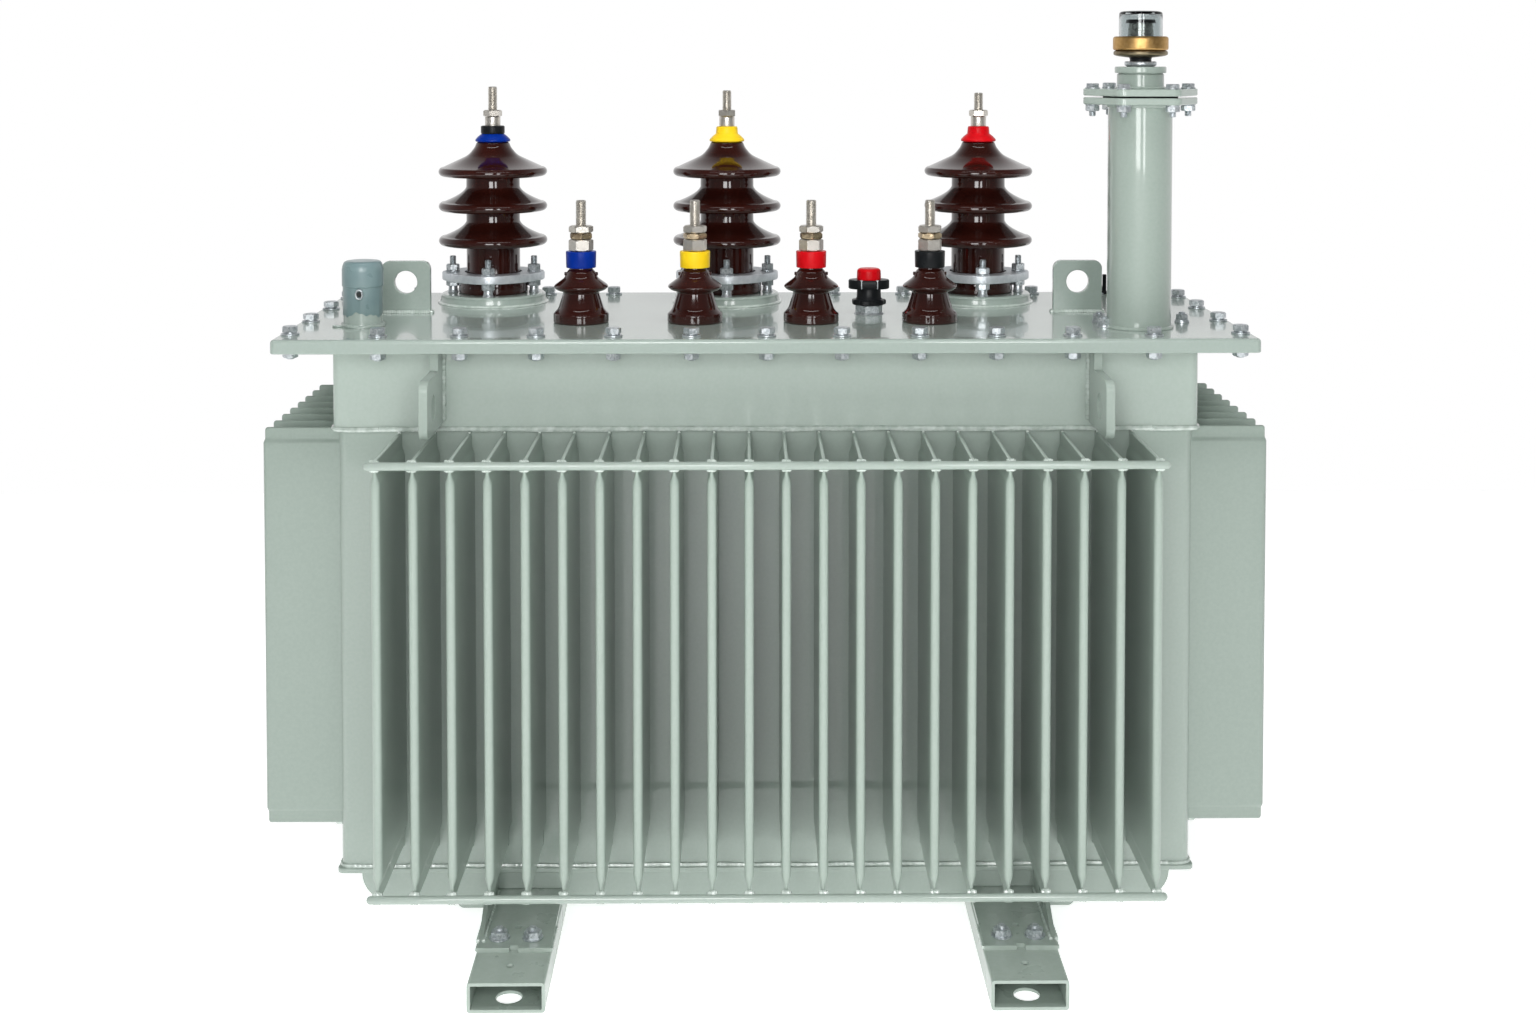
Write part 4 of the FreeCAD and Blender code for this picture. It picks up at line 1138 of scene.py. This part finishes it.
# %% Gauge
base = span("gauge_body")[0][2]
rz0, rz1 = (corner[2] for corner in span("gauge_ring"))
gz = span("gauge_glass")[1][2]
lock = joined(nut(32.0, base, base + 4.6, 48),
              ring(18.4, 13.5, base + 1, base + 6, edge=1.6, sides=44))
stem = lathe([(0, base + 4), (12.4, base + 4), (12.4, base + 9), (14.2, base + 12),
              (0, base + 12)], [0, 0, 1, 1, 0], 44)
dish = lathe([(0, base + 10.5), (14.5, base + 10.5), (26.5, base + 12.0),
              (31.2, base + 13.6), (31.2, base + 17.4), (28.4, base + 19),
              (19, base + 19.4), (0, base + 19.4)], [0, .6, 2, 1.9, 1.9, 1, 1, 0], 64)
brass_ring = turned(eased([(25.2, rz0), (30.6, rz0), (31.8, rz0 + 1.6), (31.8, rz1 - 2), (30, rz1),
                           (25.2, rz1)], [0.2, .8, 1, 1.2, 1.2, .3], 3, closed=True),
                    sides=72, loop=True)
dome = lathe([(0, gz), (18, gz - 0.4), (24.8, gz - 1.6), (25, gz - 9), (25, rz0 + 1),
              (22.4, rz0 + 1), (22.4, gz - 9), (21.6, gz - 4.6), (16, gz - 3.6),
              (0, gz - 3.4)], [0, 6, 6, 2, .3, .3, 2, 4, 5, 0], 72, 6)
sleeve = lathe([(0, rz0 + 1), (15.2, rz0 + 1), (15.2, rz0 + 14), (13.6, rz0 + 32),
                (12.4, rz0 + 33.4), (0, rz0 + 33.4)], [0, .4, 3, 1, .8, 0])
band = lathe([(0, gz - 14.4), (17.0, gz - 14.4), (17.2, gz - 13.8), (16.2, gz - 10.4),
              (0, gz - 10.0)], 0.4)
for name, shape, stuff, slot, cad_node in (
        ("gauge_lock_nut", lock, zinc, "gauge_metal", "gauge_body"),
        ("gauge_stem", stem, black, "gauge_metal", "gauge_body"),
        ("gauge_dish", dish, dull_brass, "gauge_metal", "gauge_body"),
        ("gauge_brass_ring", brass_ring, brass, "gauge_brass", "gauge_ring"),
        ("gauge_dome", dome, glass, "gauge_glass", "gauge_glass"),
        ("gauge_sleeve", sleeve, silvered, "gauge_float", "gauge_float"),
        ("gauge_float_band", band, black, "gauge_float", "gauge_float")):
    piece(name, copies(shape, riser_here), stuff, (cad_node,), sharp=50)

# %% [markdown]
# ## Floor, light and camera
#
# The machine stands on a pale floor before a white backdrop. Two soft boxes,
# one each side of the camera, give the pairs of bright lines down every round
# part. The room behind the camera is dim, and that is what keeps glaze dark
# and lets zinc show its shape: gloss is only as rich as what it mirrors. So
# the world's light depends on direction, while the camera always sees white.

# %% Lamp helper and floor
def panel(name, place, target, size, power, mirrored):
    """A rectangular lamp at place that faces target; gloss shows it only if mirrored."""
    lamp = bpy.data.lights.new(name, "AREA")
    lamp.shape, lamp.size, lamp.size_y = "RECTANGLE", size[0], size[1]
    lamp.energy = power
    obj = bpy.data.objects.new(name, lamp)
    bpy.context.scene.collection.objects.link(obj)
    obj.location = place
    obj.visible_camera, obj.visible_glossy = False, mirrored
    aim = np.array(target, float) - np.array(place, float)
    obj.rotation_euler = (math.acos(-aim[2] / np.linalg.norm(aim)), 0,
                          math.atan2(aim[1], aim[0]) - math.pi / 2)


floor_mesh = bpy.data.meshes.new("floor")
floor_mesh.from_pydata([(-2.6, -2.6, 0), (2.6, -2.6, 0), (2.6, 2.0, 0), (-2.6, 2.0, 0)],
                       [], [(0, 1, 2, 3)])
floor = bpy.data.objects.new("floor", floor_mesh)
bpy.context.scene.collection.objects.link(floor)
floor_mesh.materials.append(finish("studio_floor", (252, 252, 252), (250, 250, 250), 3, (0.7, 0.8),
                                   Emission_Color=(1, 1, 1, 1), Emission_Strength=0.66))
print("floor laid")

# %% World and lamps
world = bpy.data.worlds.new("white_room")
bpy.context.scene.world = world
world.use_nodes = True
tree = world.node_tree
link, white = tree.links.new, (1, 1, 1, 1)
room, backdrop = tree.nodes["Background"], node(tree, "Background", Color=white, Strength=1.0)
room.inputs["Color"].default_value = white
axes, dimmed, choose = node(tree, "SeparateXYZ"), node(tree, "Math"), node(tree, "MixShader")
dimmed.operation = "MULTIPLY"
link(node(tree, "TexCoord").outputs["Generated"], axes.inputs[0])
link(mapped(tree, axes.outputs["Y"], -0.45, 0.55, 0.16, 0.85), dimmed.inputs[0])
link(mapped(tree, axes.outputs["Z"], 0.25, 0.85, 1.0, 0.15, "LINEAR"), dimmed.inputs[1])
link(dimmed.outputs[0], room.inputs["Strength"])
for socket, source in enumerate((node(tree, "LightPath").outputs["Is Camera Ray"],
                                 room.outputs[0], backdrop.outputs[0])):
    link(source, choose.inputs[socket])
link(choose.outputs[0], tree.nodes["World Output"].inputs["Surface"])
for name, place, target, size, power, mirrored in (
        ("soft_box_left", (-0.385, -2.6, 1.25), (-0.2, 0, 0.75), (0.75, 1.1), 24, True),
        ("soft_box_right", (0.58, -2.6, 1.25), (0.2, 0, 0.75), (0.34, 1.1), 11, True),
        ("overhead", (0, -0.6, 3.2), (0, 0, 0.6), (3.0, 1.6), 38, False),
        ("low_fill", (0, -3.0, 0.6), (0, 0, 0.5), (3.4, 0.8), 12, False),
        ("front_fill", (0, -3.2, 2.6), (0, 0, 0.2), (3.0, 1.0), 8, False),
        ("top_strip", (0, -1.4, 3.0), (0, 0, 0.5), (3.0, 0.16), 10, True)):
    panel(name, place, target, size, power, mirrored)
bpy.context.scene.view_settings.view_transform = "Standard"

# %% Camera
camera_data = bpy.data.cameras.new("camera")
camera = bpy.data.objects.new("camera", camera_data)
bpy.context.scene.collection.objects.link(camera)
camera_data.sensor_width, camera_data.lens = 36.0, 44.95
camera_data.shift_x, camera_data.shift_y = 0.0, -0.2523
camera.location = (-0.0214, -2.3392, 1.0068)
camera.rotation_euler = (math.radians(90 - 2.2), 0, math.radians(-0.608))
bpy.context.scene.camera = camera
